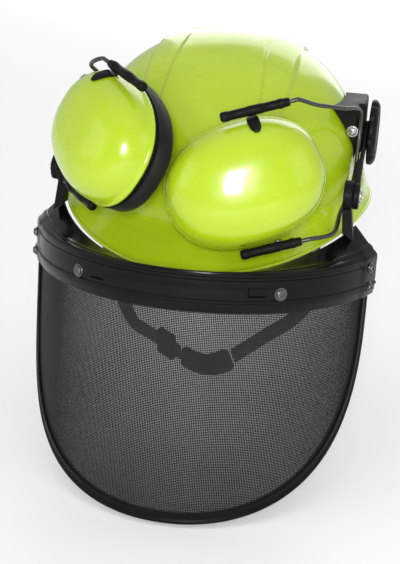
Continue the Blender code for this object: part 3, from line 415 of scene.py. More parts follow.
def catmull(pts, per):
    P = [np.asarray(p, float) for p in pts]
    n = len(P)
    T = []
    for i in range(n):
        a, b = P[max(0, i - 1)], P[min(n - 1, i + 1)]
        T.append(unit(b - a))
    out = []
    for i in range(n - 1):
        L = np.linalg.norm(P[i + 1] - P[i])
        for k in range(per):
            t = k / per
            h00, h10 = 2 * t ** 3 - 3 * t ** 2 + 1, t ** 3 - 2 * t ** 2 + t
            h01, h11 = -2 * t ** 3 + 3 * t ** 2, t ** 3 - t ** 2
            out.append(P[i] * h00 + T[i] * L * h10 + P[i + 1] * h01 + T[i + 1] * L * h11)
    out.append(P[-1])
    return out


def sweep(path, section, up_hint, uv_scale=True):
    path = [np.asarray(p, float) for p in path]
    rings = []
    for i, p in enumerate(path):
        t = unit(path[min(i + 1, len(path) - 1)] - path[max(i - 1, 0)])
        uh = up_hint[i] if isinstance(up_hint, list) else np.asarray(up_hint, float)
        side = unit(np.cross(t, uh))
        up = np.cross(side, t)
        sec = section(i / (len(path) - 1)) if callable(section) else section
        rings.append([p + side * s[0] + up * s[1] for s in sec])
    return loft(rings), rings


def tube(path, r, sides=14, radius=None):
    """Round tube along a path with a rotation-minimising frame."""
    P = [np.asarray(p, float) for p in path]
    t0 = unit(P[1] - P[0])
    x, y, z = frame_of(t0)
    rings = []
    for i, p in enumerate(P):
        t = unit(P[min(i + 1, len(P) - 1)] - P[max(i - 1, 0)])
        x = unit(x - t * np.dot(x, t))
        y = np.cross(t, x)
        rr = radius(i / (len(P) - 1)) if radius else r
        rings.append([p + x * rr * math.cos(2 * math.pi * k / sides) + y * rr * math.sin(2 * math.pi * k / sides) for k in range(sides)])
    return loft(rings)


def strap_uv(rings, width):
    """UV in mm: x along the strap, y across it."""
    uv = []
    L = 0.0
    m = len(rings[0])
    prev = None
    for r in rings:
        c = sum(r) / m
        if prev is not None:
            L += np.linalg.norm(c - prev)
        prev = c
        ax = unit(r[0] - r[m // 2 - 1]) if m > 4 else unit(r[0] - r[1])
        for p in r:
            uv.append((L, float(np.dot(p - c, ax)) + width / 2))
    return uv


def soft_section(w, t, n=9):
    """Flat tape section with rounded selvedges."""
    out = [(-w / 2 + w * i / (n - 1), 0.0) for i in range(n)]
    out = [(x, 0.12 * t if abs(x) > w / 2 - 0.5 else 0.0) for x, _ in out]
    top = [(x, t - (0.12 * t if abs(x) > w / 2 - 0.5 else 0.0)) for x, _ in reversed(out)]
    return out + top


def smooth01(t):
    t = min(1.0, max(0.0, t))
    return t * t * (3 - 2 * t)


def plan_point(a, w, f, r):
    c, s = math.cos(a), math.sin(a)
    return np.array([w * c, (f if s < 0 else r) * s])


def rim_z(a):
    s = math.sin(a)
    if s < 0:
        return RIM_Z_FRONT + (RIM_Z_SIDE - RIM_Z_FRONT) * (1 - s * s)
    return RIM_Z_REAR + (RIM_Z_SIDE - RIM_Z_REAR) * (1 - s * s)


def base_z(a):
    return rim_z(a) + 13.0 + 11.0 * max(0.0, -math.sin(a)) ** 2


def flatten(p, inset=0.0):
    x, y, z = p
    lim = FLAT_X - inset
    w = smooth01((y + 75) / 12.0) * (1 - smooth01((y - 22) / 16.0)) * smooth01((z - 36) / 14.0)
    if w > 0 and abs(x) > lim:
        x = math.copysign(abs(x) * (1 - w) + lim * w, x)
    return np.array([x, y, z])


def panel(p, inset):
    """Raised crown panel with crisp shoulders and a higher central ridge."""
    if inset > 0:
        return p
    x, y, z = p
    wide = 53.0 - 10.0 * smooth01((-y - 30) / 80.0)
    fade = smooth01((z - 52) / 34.0)
    h = 2.7 * fade * (1 - smooth01((abs(x) - wide + 1.6) / 3.2))
    narrow = 29.0 + 6.0 * smooth01((-y + 10) / 90.0)
    h += 1.7 * fade * (1 - smooth01((abs(x) - narrow + 0.9) / 1.8)) * smooth01((-y + 40) / 50.0)
    d = unit(np.asarray(p) - np.array([0, 10, 10.0]))
    return np.asarray(p) + d * h


def dome_point(a, z, inset=0.0):
    top = SHELL_TOP - inset
    k = min(1.0, max(0.0, (z - SHELL_Z0) / (top - SHELL_Z0)))
    c = (1 - k ** SHELL_N) ** (1 / SHELL_N)
    q = plan_point(a, (SHELL_W - inset) * c, (SHELL_F - inset) * c, (SHELL_R - inset) * c)
    return flatten(np.array([q[0], q[1] + CROWN_Y * k ** 1.5, z]), inset)


def shell_profile(a, inset, n):
    zr, zb = rim_z(a), base_z(a)
    rim = plan_point(a, RIM_W, RIM_F, RIM_R)
    base = dome_point(a, zb, inset)
    pts = []
    lip = inset * 0.25
    d0 = unit(rim)
    if inset == 0:
        # rolled bead along the rim
        for ang in (-70, -25, 20, 65, 105):
            t = math.radians(ang)
            q = rim + d0 * (math.cos(t) * 1.1 - 0.35)
            pts.append(np.array([q[0], q[1], zr + 0.9 + math.sin(t) * 1.15]))
    knots = [(0.0, 0.0), (0.22, 0.16), (0.5, 0.36), (0.78, 0.64), (1.0, 1.0)]
    for i in range(1, 14):
        t = i / 13.0
        zt = np.interp(t, [k[0] for k in knots], [k[1] for k in knots])
        zt = 0.5 * zt + 0.5 * (0.62 * t + 0.38 * t ** 2.2)
        if t >= 1.0:
            break
        q = rim * (1 - t) + base[:2] * t
        q = q - unit(q) * lip * 1.2
        pts.append(np.array([q[0], q[1], zr + 0.9 + (zb - zr - 0.9) * zt - inset * 0.9 * (1 - 0.2 * t)]))
    if inset > 0:
        pts.insert(0, np.array([*(rim - d0 * 1.6), zr + 0.1]))
    top = SHELL_TOP - inset
    f0 = math.asin(min(1.0, ((zb - SHELL_Z0) / (top - SHELL_Z0)) ** (SHELL_N / 2)))
    for i in range(n):
        f = f0 + (math.radians(88.6) - f0) * i / (n - 1)
        z = SHELL_Z0 + (top - SHELL_Z0) * math.sin(f) ** (2 / SHELL_N)
        pts.append(panel(dome_point(a, z, inset), inset))
    return pts


def build_shell():
    n_az = 420
    azs = [2 * math.pi * (i + 0.5) / n_az for i in range(n_az)]
    outer = [shell_profile(a, 0.0, 74) for a in azs]
    inner = [shell_profile(a, WALL, 24) for a in azs]
    mo, mi = len(outer[0]), len(inner[0])
    V = [p for prof in outer for p in prof]
    off = len(V)
    V += [p for prof in inner for p in prof]
    co = len(V)
    V.append(panel(np.array([0, CROWN_Y, SHELL_TOP]), 0))
    ci = len(V)
    V.append(np.array([0, CROWN_Y, SHELL_TOP - WALL]))
    F = []
    for i in range(n_az):
        j = (i + 1) % n_az
        for k in range(mo - 1):
            F.append((i * mo + k, j * mo + k, j * mo + k + 1, i * mo + k + 1))
        for k in range(mi - 1):
            F.append((off + i * mi + k, off + i * mi + k + 1, off + j * mi + k + 1, off + j * mi + k))
        F.append((i * mo + mo - 1, j * mo + mo - 1, co))
        F.append((off + i * mi + mi - 1, ci, off + j * mi + mi - 1))
        F.append((i * mo, off + i * mi, off + j * mi, j * mo))
    return make("shell", V, F, M_SHELL, "helmet", ("helmet_shell",), sharp=50)


shell = build_shell()


def shell_x(y, z, inset=0.0):
    top = SHELL_TOP - inset
    k = min(1.0, max(0.0, (z - SHELL_Z0) / (top - SHELL_Z0)))
    c = (1 - k ** SHELL_N) ** (1 / SHELL_N)
    yy = y - CROWN_Y * k ** 1.5
    b = (SHELL_F if yy < 0 else SHELL_R) * c
    s = max(0.0, 1 - (yy / b) ** 2)
    return flatten(np.array([SHELL_W * c * math.sqrt(s), y, z]))[0]


def mir(s, p):
    return np.array([s * p[0], p[1], p[2]], float)


# ================================================================ screw heads and rivets
def screw_head(name, p, n, r, h, mat, body, node, drive="slot"):
    """Washer, domed head and a cut drive."""
    x, y, z = frame_of(n)
    p = np.asarray(p, float)
    parts = [lathe([(r * 1.28, 0.0), (r * 1.34, 0.12 * h), (r * 1.28, 0.24 * h), (r * 1.0, 0.26 * h)], p, n, 40)]
    head = [(r, 0.2 * h), (r * 1.02, 0.34 * h), (r * 0.96, 0.55 * h), (r * 0.80, 0.78 * h), (r * 0.55, 0.93 * h), (r * 0.3, 0.99 * h)]
    sides = 48
    rings = []
    for rr, hh in head:
        rings.append([p + x * rr * math.cos(2 * math.pi * i / sides) + y * rr * math.sin(2 * math.pi * i / sides) + z * hh for i in range(sides)])
    # recess
    if drive == "slot":
        def cut(px, py):
            return 0.34 * h * (1 - smooth01((abs(py) - 0.16 * r) / (0.06 * r)))
    elif drive == "cross":
        def cut(px, py):
            a = (1 - smooth01((abs(py) - 0.13 * r) / (0.06 * r))) * (1 - smooth01((abs(px) - 0.58 * r) / (0.1 * r)))
            b = (1 - smooth01((abs(px) - 0.13 * r) / (0.06 * r))) * (1 - smooth01((abs(py) - 0.58 * r) / (0.1 * r)))
            return 0.45 * h * max(a, b)
    else:
        def cut(px, py):
            return 0.3 * h * (1 - smooth01((math.hypot(px, py) - 0.34 * r) / (0.12 * r)))
    parts.append(loft(rings[:2], caps=False))
    g = 28
    V, F = [], []
    idx = {}
    for i in range(g + 1):
        for j in range(sides):
            rr = r * 1.02 * i / g
            a = 2 * math.pi * j / sides
            px, py = rr * math.cos(a), rr * math.sin(a)
            k = min(1.0, rr / (r * 1.02))
            hh = (0.34 + 0.65 * (1 - k ** 2.4) ** (1 / 2.0)) * h - cut(px, py) * (1 if k < 0.97 else 0)
            V.append(p + x * px + y * py + z * max(hh, 0.3 * h))
    for i in range(g):
        for j in range(sides):
            k = (j + 1) % sides
            if i == 0:
                if j % 1 == 0:
                    F.append((i * sides + j, (i + 1) * sides + j, (i + 1) * sides + k))
            else:
                F.append((i * sides + j, (i + 1) * sides + j, (i + 1) * sides + k, i * sides + k))
    parts.append((V, F))
    v, f = join(*parts)
    ob = make(name, v, f, mat, body, (node,), sharp=38)
    bm = bmesh.new()
    bm.from_mesh(ob.data)
    bmesh.ops.remove_doubles(bm, verts=bm.verts, dist=1e-6)
    bm.to_mesh(ob.data)
    bm.free()
    return ob


# ================================================================ visor surface
def vis(t, d, off=0.0):
    a = math.radians(t)
    p = np.array([(VIS_A + off) * math.sin(a), -(VIS_B + off) * math.cos(a), -d])
    th = math.radians(VIS_TILT)
    y, z = p[1], p[2] - 40
    return np.array([p[0], y * math.cos(th) + z * math.sin(th) + VIS_Y, z * math.cos(th) - y * math.sin(th) + 40 + VIS_Z])


def vis_normal(t):
    a = math.radians(t)
    n = unit(np.array([math.sin(a) / VIS_A, -math.cos(a) / VIS_B, 0.0]))
    th = math.radians(VIS_TILT)
    return np.array([n[0], n[1] * math.cos(th), -n[1] * math.sin(th)])


def inset_half(d, m):
    ti, hi = VIS_T - m / 2.42, VIS_H - m
    k = 0.0 if d < VIS_STRAIGHT else min(1.0, (d - VIS_STRAIGHT) / (hi - VIS_STRAIGHT))
    return ti * max(0.0, 1 - k ** VIS_POW) ** (1 / VIS_POW)


def build_bracket():
    nt = 193
    rings = []
    for i in range(nt):
        t = -BT + 2 * BT * i / (nt - 1)
        p0 = vis(t, 0.0)
        a = math.atan2(p0[1] / RIM_F, p0[0] / RIM_W)
        q = plan_point(a, RIM_W + 2.6, RIM_F + 2.6, RIM_R)
        lip = np.array([q[0], q[1], rim_z(a) + 0.5])
        e = abs(t) / BT
        tab = smooth01((e - 0.86) / 0.05)                     # thick end tabs
        rec = 0.0
        for c, w in ((24.0, 5.2), (-25.5, 5.0)):              # shallow moulded windows beside the rivets
            rec = max(rec, (1 - smooth01((abs(t - c) - w / 2) / 0.45)))
        out = 3.0 + 0.9 * tab
        top = vis(t, -17.0, out)
        sh = top - lip
        L = np.linalg.norm(sh)
        u = sh / L
        upv = np.array([0, 0, 1.0])
        ring = [lip + np.array([0, 0, -0.3]), lip + u * 0.6 + upv * 0.5, lip + u * 1.8 + upv * 0.7,
                lip + sh * 0.34 + upv * 0.2, lip + sh * 0.62 - upv * 0.15,
                lip + sh * 0.66 + upv * 0.75, lip + sh * 0.78 + upv * 0.8, lip + sh * 0.82 + upv * 0.1,
                lip + u * (L - 1.6) + upv * 0.25, lip + u * (L - 0.5)]
        face = [(-16.2, 0.0), (-14.6, 0.15), (-13.4, 0.1), (-12.6, -0.75), (-11.0, -0.8), (-10.2, 0.0),
                (-6.2, 0.05), (-5.4, 0.1), (-0.4, 0.1), (0.4, 0.05), (2.4, 0.0), (3.2, 0.95), (4.6, 1.0), (5.4, 0.1), (8.6, 0.0), (9.4, -0.5), (11.2, -0.55), (12.0, -1.0)]
        for k, (d, o) in enumerate(face):
            o2 = o
            if 7 <= k <= 8:
                o2 = o - 1.5 * rec
            elif 3 <= k <= 4:
                o2 = o * (1 - tab)
            ring.append(vis(t, d, out + o2))
        ring += [vis(t, 12.0, 0.9), vis(t, 4.0, 0.9), vis(t, -3.0, 0.9), vis(t, -14.0, -0.6), lip + np.array([0, 0, -2.6])]
        rings.append(ring)
    v, f = loft(rings)
    return make("bracket", v, f, M_BRACKET, "visor", ("visor_bracket",), sharp=34)


bracket = build_bracket()


def build_screen():
    """Moulded square mesh: thin ribs both ways, following the curved sheet."""
    pitch, w, h = 1.22, 0.66, 0.28
    V, F = [], []

    def rib(pts, nrm, tan, off):
        base = len(V)
        m = len(pts)
        for p, n, t in zip(pts, nrm, tan):
            s = np.cross(n, t)
            for a, b in ((-w / 2, off - h / 2), (w / 2, off - h / 2), (w / 2, off + h / 2), (-w / 2, off + h / 2)):
                V.append(p + s * a + n * b)
        for i in range(m - 1):
            for j in range(4):
                k = (j + 1) % 4
                F.append((base + 4 * i + j, base + 4 * i + k, base + 4 * i + 4 + k, base + 4 * i + 4 + j))
        F.append((base + 3, base + 2, base + 1, base))
        e = base + 4 * (m - 1)
        F.append((e, e + 1, e + 2, e + 3))

    margin, d0 = 4.4, 1.0
    d = d0 + pitch
    while d < VIS_H - margin - 0.6:
        hw = inset_half(d, margin)
        m = max(4, int(60 * hw / VIS_T))
        ts = [-hw + 2 * hw * i / (m - 1) for i in range(m)]
        P = [vis(t, d, -0.45) for t in ts]
        N = [vis_normal(t) for t in ts]
        T = [unit(P[min(i + 1, m - 1)] - P[max(0, i - 1)]) for i in range(m)]
        rib(P, N, T, 0.10)
        d += pitch
    # uprights evenly spaced by arc length
    arc = [0.0]
    step = 0.1
    tt = [0.0]
    while tt[-1] < VIS_T:
        t = tt[-1] + step
        arc.append(arc[-1] + np.linalg.norm(vis(t, 60, -0.45) - vis(tt[-1], 60, -0.45)))
        tt.append(t)
    ti, hi = VIS_T - margin / 2.42, VIS_H - margin
    s = 0.0
    while s < arc[-1]:
        t = float(np.interp(s, arc, tt))
        if t < ti - 0.3:
            k = (1 - (t / ti) ** VIS_POW) ** (1 / VIS_POW)
            d1 = VIS_STRAIGHT + (hi - VIS_STRAIGHT) * k
            for sg in ((1, -1) if t > 0 else (1,)):
                m = 6
                ds = [d0 + (d1 - d0) * i / (m - 1) for i in range(m)]
                P = [vis(sg * t, x, -0.45) for x in ds]
                n = vis_normal(sg * t)
                T = [unit(P[-1] - P[0])] * m
                rib(P, [n] * m, T, -0.10)
        s += pitch
    return make("screen_mesh", V, F, M_MESH, "visor", ("mesh_screen",), smooth=False, fix=True)


screen = build_screen()


def build_trim():
    td = []
    for i in range(121):
        a = math.radians(90.0 * i / 120.0)
        td.append((VIS_T * math.cos(a) ** (2 / VIS_POW), VIS_STRAIGHT + (VIS_H - VIS_STRAIGHT) * math.sin(a) ** (2 / VIS_POW)))
    td = [(VIS_T, 13.0), (VIS_T, 25.0)] + td
    full = [(-t, d) for t, d in td] + [(t, d) for t, d in reversed(td[:-1])]
    P = [vis(t, d) for t, d in full]
    L = [0.0]
    for i in range(1, len(P)):
        L.append(L[-1] + np.linalg.norm(P[i] - P[i - 1]))
    n = 241
    ts = np.interp(np.linspace(0, L[-1], n), L, [f[0] for f in full])
    ds = np.interp(np.linspace(0, L[-1], n), L, [f[1] for f in full])
    mid = vis(0, 80)
    C = [vis(ts[i], ds[i]) for i in range(n)]
    rings = []
    for i in range(n):
        tan = unit(C[min(i + 1, n - 1)] - C[max(0, i - 1)])
        if 1 < i < n - 2:
            tan = unit(C[i + 2] - C[i - 2])
        nn = vis_normal(ts[i])
        inw = unit(np.cross(nn, tan))
        if np.dot(inw, mid - C[i]) < 0:
            inw = -inw
        q = C[i] + inw * 1.0
        w = 8.0
        sec = [(0.1, 1.2), (0.5, 1.9), (1.2, 2.15), (2.6, 2.0), (3.4, 1.55), (5.6, 1.5), (6.6, 1.85), (7.6, 1.75), (8.0, 1.2), (8.0, 0.5),
               (2.6, 0.35), (2.4, -0.6), (2.6, -1.4), (8.0, -1.5), (8.0, -2.2), (7.4, -2.8), (1.2, -3.0), (0.3, -2.5), (0.0, -1.5), (0.0, 0.2)]
        rings.append([q + inw * a + nn * b for a, b in sec])
    v, f = loft(rings)
    return make("screen_edge", v, f, M_TRIM, "visor", ("screen_trim",), sharp=36)


trim = build_trim()

for tag, t in (("left", 31.0), ("right", -33.0)):
    screw_head("rivet_" + tag, vis(t, -1.5, 3.0 + 0.1), vis_normal(t), 3.5, 2.4, M_DARKSTEEL, "visor", "bracket_rivet_" + tag, "dimple")
for side, s in SIDES:
    for tag, d in (("upper", -9.0), ("lower", 5.0)):
        screw_head("tab_screw_%s_%s" % (tag, side), vis(s * 67.5, d, 3.9), vis_normal(s * 67.5), 2.9, 3.0, M_DARKSTEEL, "visor",
                   "bracket_screw_%s_%s" % (tag, side), "cross")


# ================================================================ slot blocks, knobs, arms, legs
def tube_h(path, r, n=10):
    return tube(path, r, n)


for side, s in SIDES:
    sx = np.array([s, 0, 0.0])
    # block: keeps the CAD body's envelope, with a raised step and rounded edges on its outer face
    ys = np.array([-22, -21.4, -20.6, -19.6, -17, -12, -8, -6.6, -6.1, -5.7, -5.2, -2, 2, 5, 9, 13, 17, 21, 23.4, 24.5, 25.4, 26])
    zs = np.array([63, 63.6, 64.4, 65.4, 68, 71, 76, 81, 86, 91, 95, 97.6, 98.6, 99.4, 100])
    inner, outer = [], []
    for y in ys:
        for z in zs:
            ed = min(y + 22, 26 - y, z - 63, 100 - z)
            rnd = 0.0 if ed > 2.2 else (2.2 - ed) ** 2 / 3.2
            slot = 0.0
            inner.append(mir(s, (shell_x(y, z) + 1.3, y, z)))
            step = PAD_RISE * smooth01((y + 6.4) / 1.0)
            outer.append(mir(s, (BLOCK_X + step - rnd - slot, y, z)))
    n = len(zs)
    o = len(inner)
    F = []
    for i in range(len(ys) - 1):
        for j in range(n - 1):
            a = i * n + j
            F.append((a, a + 1, a + n + 1, a + n))
            F.append((o + a, o + a + n, o + a + n + 1, o + a + 1))
    rim = [i * n for i in range(len(ys))] + [(len(ys) - 1) * n + j for j in range(1, n)] + \
          [i * n + n - 1 for i in range(len(ys) - 2, -1, -1)] + [j for j in range(n - 2, 0, -1)]
    for i in range(len(rim)):
        a, b = rim[i], rim[(i + 1) % len(rim)]
        F.append((a, b, o + b, o + a))
    make("block_" + side, inner + outer, F, M_BLACK, "helmet", ("slot_block_" + side,), sharp=30)

    screw_head("block_bolt_" + side, mir(s, (98.6, -22.3, 83.0)), (0, -1, 0), 3.2, 2.6, M_SCREW, "helmet", "block_screw_" + side, "cross")

    # visor arm: flat link with raised borders and a long shallow pocket
    d0 = unit(np.array([0, BOSS_Y - KNOB_Y, BOSS_Z - KNOB_Z]))
    nrm = unit(np.array([0, KNOB_Z - BOSS_Z, BOSS_Y - KNOB_Y]))
    stations = []
    for k in range(61):
        t = k / 60.0
        c = np.array([0, KNOB_Y, KNOB_Z]) * (1 - t) + np.array([0, BOSS_Y, BOSS_Z]) * t
        stations.append((t, c))
    R0, R1 = 8.5, 9.3
    Ltot = math.hypot(BOSS_Y - KNOB_Y, BOSS_Z - KNOB_Z)

    def half_at(u):
        if u < 0:
            return math.sqrt(max(0.0, R0 ** 2 - u ** 2))
        if u > Ltot:
            return math.sqrt(max(0.0, R1 ** 2 - (u - Ltot) ** 2))
        k = u / Ltot
        waist = 6.0
        a = math.sqrt(max(0.0, R0 ** 2 - u ** 2)) if u < R0 else 0.0
        b = math.sqrt(max(0.0, R1 ** 2 - (Ltot - u) ** 2)) if Ltot - u < R1 else 0.0
        base = 7.4 * (1 - k) + 5.7 * k
        return max(a, b, base)
    us = [-R0 + 0.03, -R0 + 0.4, -R0 + 1.2, -R0 + 2.6, -R0 + 4.6, -R0 + 6.6] + list(np.linspace(0, Ltot, 46)) + \
         [Ltot + R1 - 6.6, Ltot + R1 - 4.6, Ltot + R1 - 2.6, Ltot + R1 - 1.2, Ltot + R1 - 0.4, Ltot + R1 - 0.03]
    us = sorted(us)
    rings = []
    for u in us:
        c = np.array([0, KNOB_Y, KNOB_Z]) + d0 * u
        h = max(0.25, half_at(u))
        a = float(np.interp(u, [48.0, 53.7, 65.7, 72.5], [ARM_X, 103.6, 103.6, 106.6]))
        b = float(np.interp(u, [30.8, 48.0, 65.7, 72.5, 80.0], [108.8, 109.2, 109.6, 109.8, 110.2]))
        pocket = 0.8 * smooth01((u - 24) / 3.0) * smooth01((Ltot - 16 - u) / 3.0)
        sec = [(a + .5, -h), (a + 1.2, -h - .0), (b - .7, -h), (b - .2, -h + .25), (b, -h + .8), (b, -h * 0.62), (b - pocket, -h * 0.52),
               (b - pocket, h * 0.52), (b, h * 0.62), (b, h - .8), (b - .2, h - .25), (b - .7, h), (a + .5, h), (a, h - .5), (a, -h + .5)]
        rings.append([mir(s, c + nrm * v + np.array([x, 0, 0])) for x, v in sec])
    v, f = loft(rings)
    # raised boss ring round the pivot
    v2, f2 = lathe([(9.0, -0.2), (9.0, 0.35), (8.5, 0.6), (6.6, 0.6), (6.2, 0.3), (6.2, -0.2)], mir(s, (110.1, BOSS_Y, BOSS_Z)), sx, 48, close=True)
    v, f = join((v, f), (v2, f2))
    make("arm_" + side, v, f, M_BLACK, "helmet", ("visor_arm_" + side,), sharp=34)

    # clamp knob: a chamfered cap with finger scallops and a parting groove
    base = mir(s, (109.15, KNOB_Y, KNOB_Z))

    def scallop(a, k):
        if k in (3, 4, 5, 6, 7):
            w = 0.5 + 0.5 * math.cos(a * 10)
            return -1.5 * (w ** 6)
        if k == 8:
            return -0.5 * ((0.5 + 0.5 * math.cos(a * 10)) ** 6)
        return 0.0
    prof = [(20.0, 0.0), (22.6, 0.25), (23.4, 0.9), (23.9, 1.5), (24.0, 2.2), (24.0, 3.4), (23.9, 4.2), (23.3, 5.1), (22.2, 6.3), (20.6, 7.3), (19.3, 7.7), (18.2, 7.8),
            (15.6, 7.8), (15.2, 7.1), (14.4, 7.0), (13.8, 7.1), (13.5, 7.75), (9.0, 7.8), (5.0, 7.8), (1.0, 7.8)]
    prof = [(r_ * KNOB_R / 24.0, h_ * 6.7 / 7.8) for r_, h_ in prof]
    v, f = lathe(prof, base, sx, 120, wobble=scallop)
    # finger bar across the face
    ey = unit(np.array([0, 0.35, 1.0]))
    ex = np.cross(ey, sx)
    bar = prism(base + sx * 5.9, ex, ey, sx, rounded_rect(7.2, 25.0, 3.5, 6), [(0.0, 0.0), (0.0, 0.5), (0.35, 0.85), (0.9, 0.98)])
    v, f = join((v, f), bar)
    make("knob_cap_" + side, v, f, M_KNOB, "knob_" + side, ("clamp_knob_" + side,), sharp=30)

    # leg: round head, tapering strap and a foot on the bracket's shelf
    def xin(z):
        return 100.0 + (0.0 if z > 40 else (40 - z) * 0.09)

    def xout(z):
        return 106.25 + (0.0 if z > 40 else (40 - z) * 0.15)
    out2 = []
    for i in range(61):
        a = math.radians(-62 + 304 * i / 60.0)
        out2.append((BOSS_Y + BOSS_R * math.cos(a), BOSS_Z + BOSS_R * math.sin(a)))
    left_side = [(-5.6, 37.0), (-5.9, 33.0), (-6.4, 28.0), (-6.9, 24.0)]
    right_side = [(4.8, 24.0), (4.6, 28.0), (4.8, 33.0), (5.0, 37.0)]
    out2 += [(BOSS_Y + y, z) for y, z in left_side]
    foot_i = len(out2)
    out2 += [(BOSS_Y - 7.2, 0.0), (BOSS_Y + 4.2, 0.0)]
    out2 += [(BOSS_Y + y, z) for y, z in right_side]

    def foot(x, y, z):
        return z if z > 1 else 25.2 - 0.72 * (x - 101.0) - 0.10 * (y - BOSS_Y)
    cy, cz = BOSS_Y - 0.8, 44.0
    rings = []
    for ins, kx in ((0.45, 0.0), (0.0, 0.10), (0.0, 0.90), (0.2, 0.97), (0.55, 1.0)):
        ring = []
        for y, z in out2:
            zz = z or 20.0
            x = xin(zz) * (1 - kx) + xout(zz) * kx
            zf = foot(x, y, z)
            if z > 1:
                dy, dz = y - BOSS_Y, (zf - BOSS_Z) if zf > BOSS_Z - 9 else 0.0
                L = math.hypot(dy, dz) or 1.0
                y, zf = y - dy / L * ins, zf - dz / L * ins
            ring.append(mir(s, (x, y, zf)))
        rings.append(ring)
    v, f = loft(rings)
    make("leg_" + side, v, f, M_BLACK, "visor", ("visor_leg_" + side,), sharp=30)
    screw_head("pivot_bolt_" + side, mir(s, (110.2 + GAP, BOSS_Y, BOSS_Z)), sx, 4.6, 2.7, M_SCREW, "helmet", "pivot_screw_" + side, "slot")

    # swivel disc with a stepped rim and a notch ring
    v, f = lathe([(6.3, 0.0), (6.9, 0.3), (7.0, 0.6), (7.0, 1.5), (6.8, 2.0), (6.1, 2.35), (5.2, 2.4), (4.9, 2.1), (4.2, 2.1), (3.9, 2.6), (3.2, 2.8), (1.2, 2.8)],
                 (s * (BLOCK_X + GAP), SWIVEL_Y, SWIVEL_Z), sx, 64)
    make("swivel_" + side, v, f, M_BLACK, "muff_swivel_" + side, ("muff_swivel_" + side,), sharp=30)


# ================================================================ ear cups
def cup_frame(side):
    c, n, e1 = CUPS[side]
    e1 = unit(e1 - n * np.dot(e1, n))
    e2 = np.cross(n, e1)
    if e2[2] < 0:
        e2 = -e2
    return c, e1, e2, n


FORKS = {
    "left": dict(along=(0.9962, -0.087, 0.0), upper=(-7.0, 40.0, 45.5, 35.0), lower=(-14.0, 28.0, -46.4, 24.0), pin=13.0),
    "right": dict(along=(0.980, -0.170, 0.105), upper=(-30.0, 16.0, 45.2, 36.0), lower=(-11.0, 27.0, -46.9, 16.0), pin=9.0),
}


def fork_axes(side):
    fr = cup_frame(side)
    a = unit(FORKS[side]["along"])
    b = unit((-a[1], a[0], 0.0))
    return tuple(fr[1] * v[0] + fr[2] * v[1] + fr[3] * v[2] for v in (a, b))


def fork_pt(side, s_, t_, h_):
    q = FORKS[side]
    fr = cup_frame(side)
    a = unit(q["along"])
    s1, s2 = fork_axes(side)
    return fr[0] + fr[1] * (a[0] * q["pin"]) + fr[2] * (a[1] * q["pin"]) + s1 * (s_ - q["pin"]) + s2 * t_ + fr[3] * h_


def egg(r, a=CUP_A, b=CUP_B, k=96, grow=0.0):
    out = []
    for i in range(k):
        t = 2 * math.pi * i / k
        out.append(((a + grow) * r * sgn_pow(math.cos(t), 2 / CUP_E), (b + grow) * r * sgn_pow(math.sin(t), 2 / CUP_E)))
    return out


def place(fr, u, v, h):
    c, e1, e2, n = fr
    return c + e1 * u + e2 * v + n * h


def soft_sim(ob, pins, pressure, cap, frames=20, shrink=0.0, stiff=12.0, seed_push=None):
    """Inflates a padded piece with Blender's cloth, pinned where it is sewn or backed, and bakes the result in."""
    me = ob.data
    rest = np.array([v.co[:] for v in me.vertices])
    g = ob.vertex_groups.new(name="pin")
    g.add(pins, 1.0, "REPLACE")
    c = ob.modifiers.new("Cloth", "CLOTH")
    st = c.settings
    st.quality = 6
    st.mass = 0.25
    st.tension_stiffness = st.compression_stiffness = stiff
    st.shear_stiffness = stiff * 0.5
    st.bending_stiffness = 0.4
    st.vertex_group_mass = "pin"
    st.pin_stiffness = 1.0
    st.use_pressure = True
    st.uniform_pressure_force = pressure
    st.shrink_min = shrink
    st.effector_weights.gravity = 0.0
    c.collision_settings.use_collision = False
    sc = bpy.context.scene
    for fr_ in range(1, frames + 1):
        sc.frame_set(fr_)
    dg = bpy.context.evaluated_depsgraph_get()
    ev = ob.evaluated_get(dg)
    m2 = ev.to_mesh()
    new = np.array([v.co[:] for v in m2.vertices])
    ev.to_mesh_clear()
    ob.modifiers.remove(c)
    ob.vertex_groups.clear()
    sc.frame_set(1)
    d = new - rest
    L = np.linalg.norm(d, axis=1)
    L[L == 0] = 1.0
    d *= np.minimum(1.0, cap * MM / L)[:, None]
    new = rest + d
    me.vertices.foreach_set("co", new.ravel())
    me.update()
    s_ = ob.modifiers.new("sub", "SUBSURF")
    s_.levels = s_.render_levels = 1


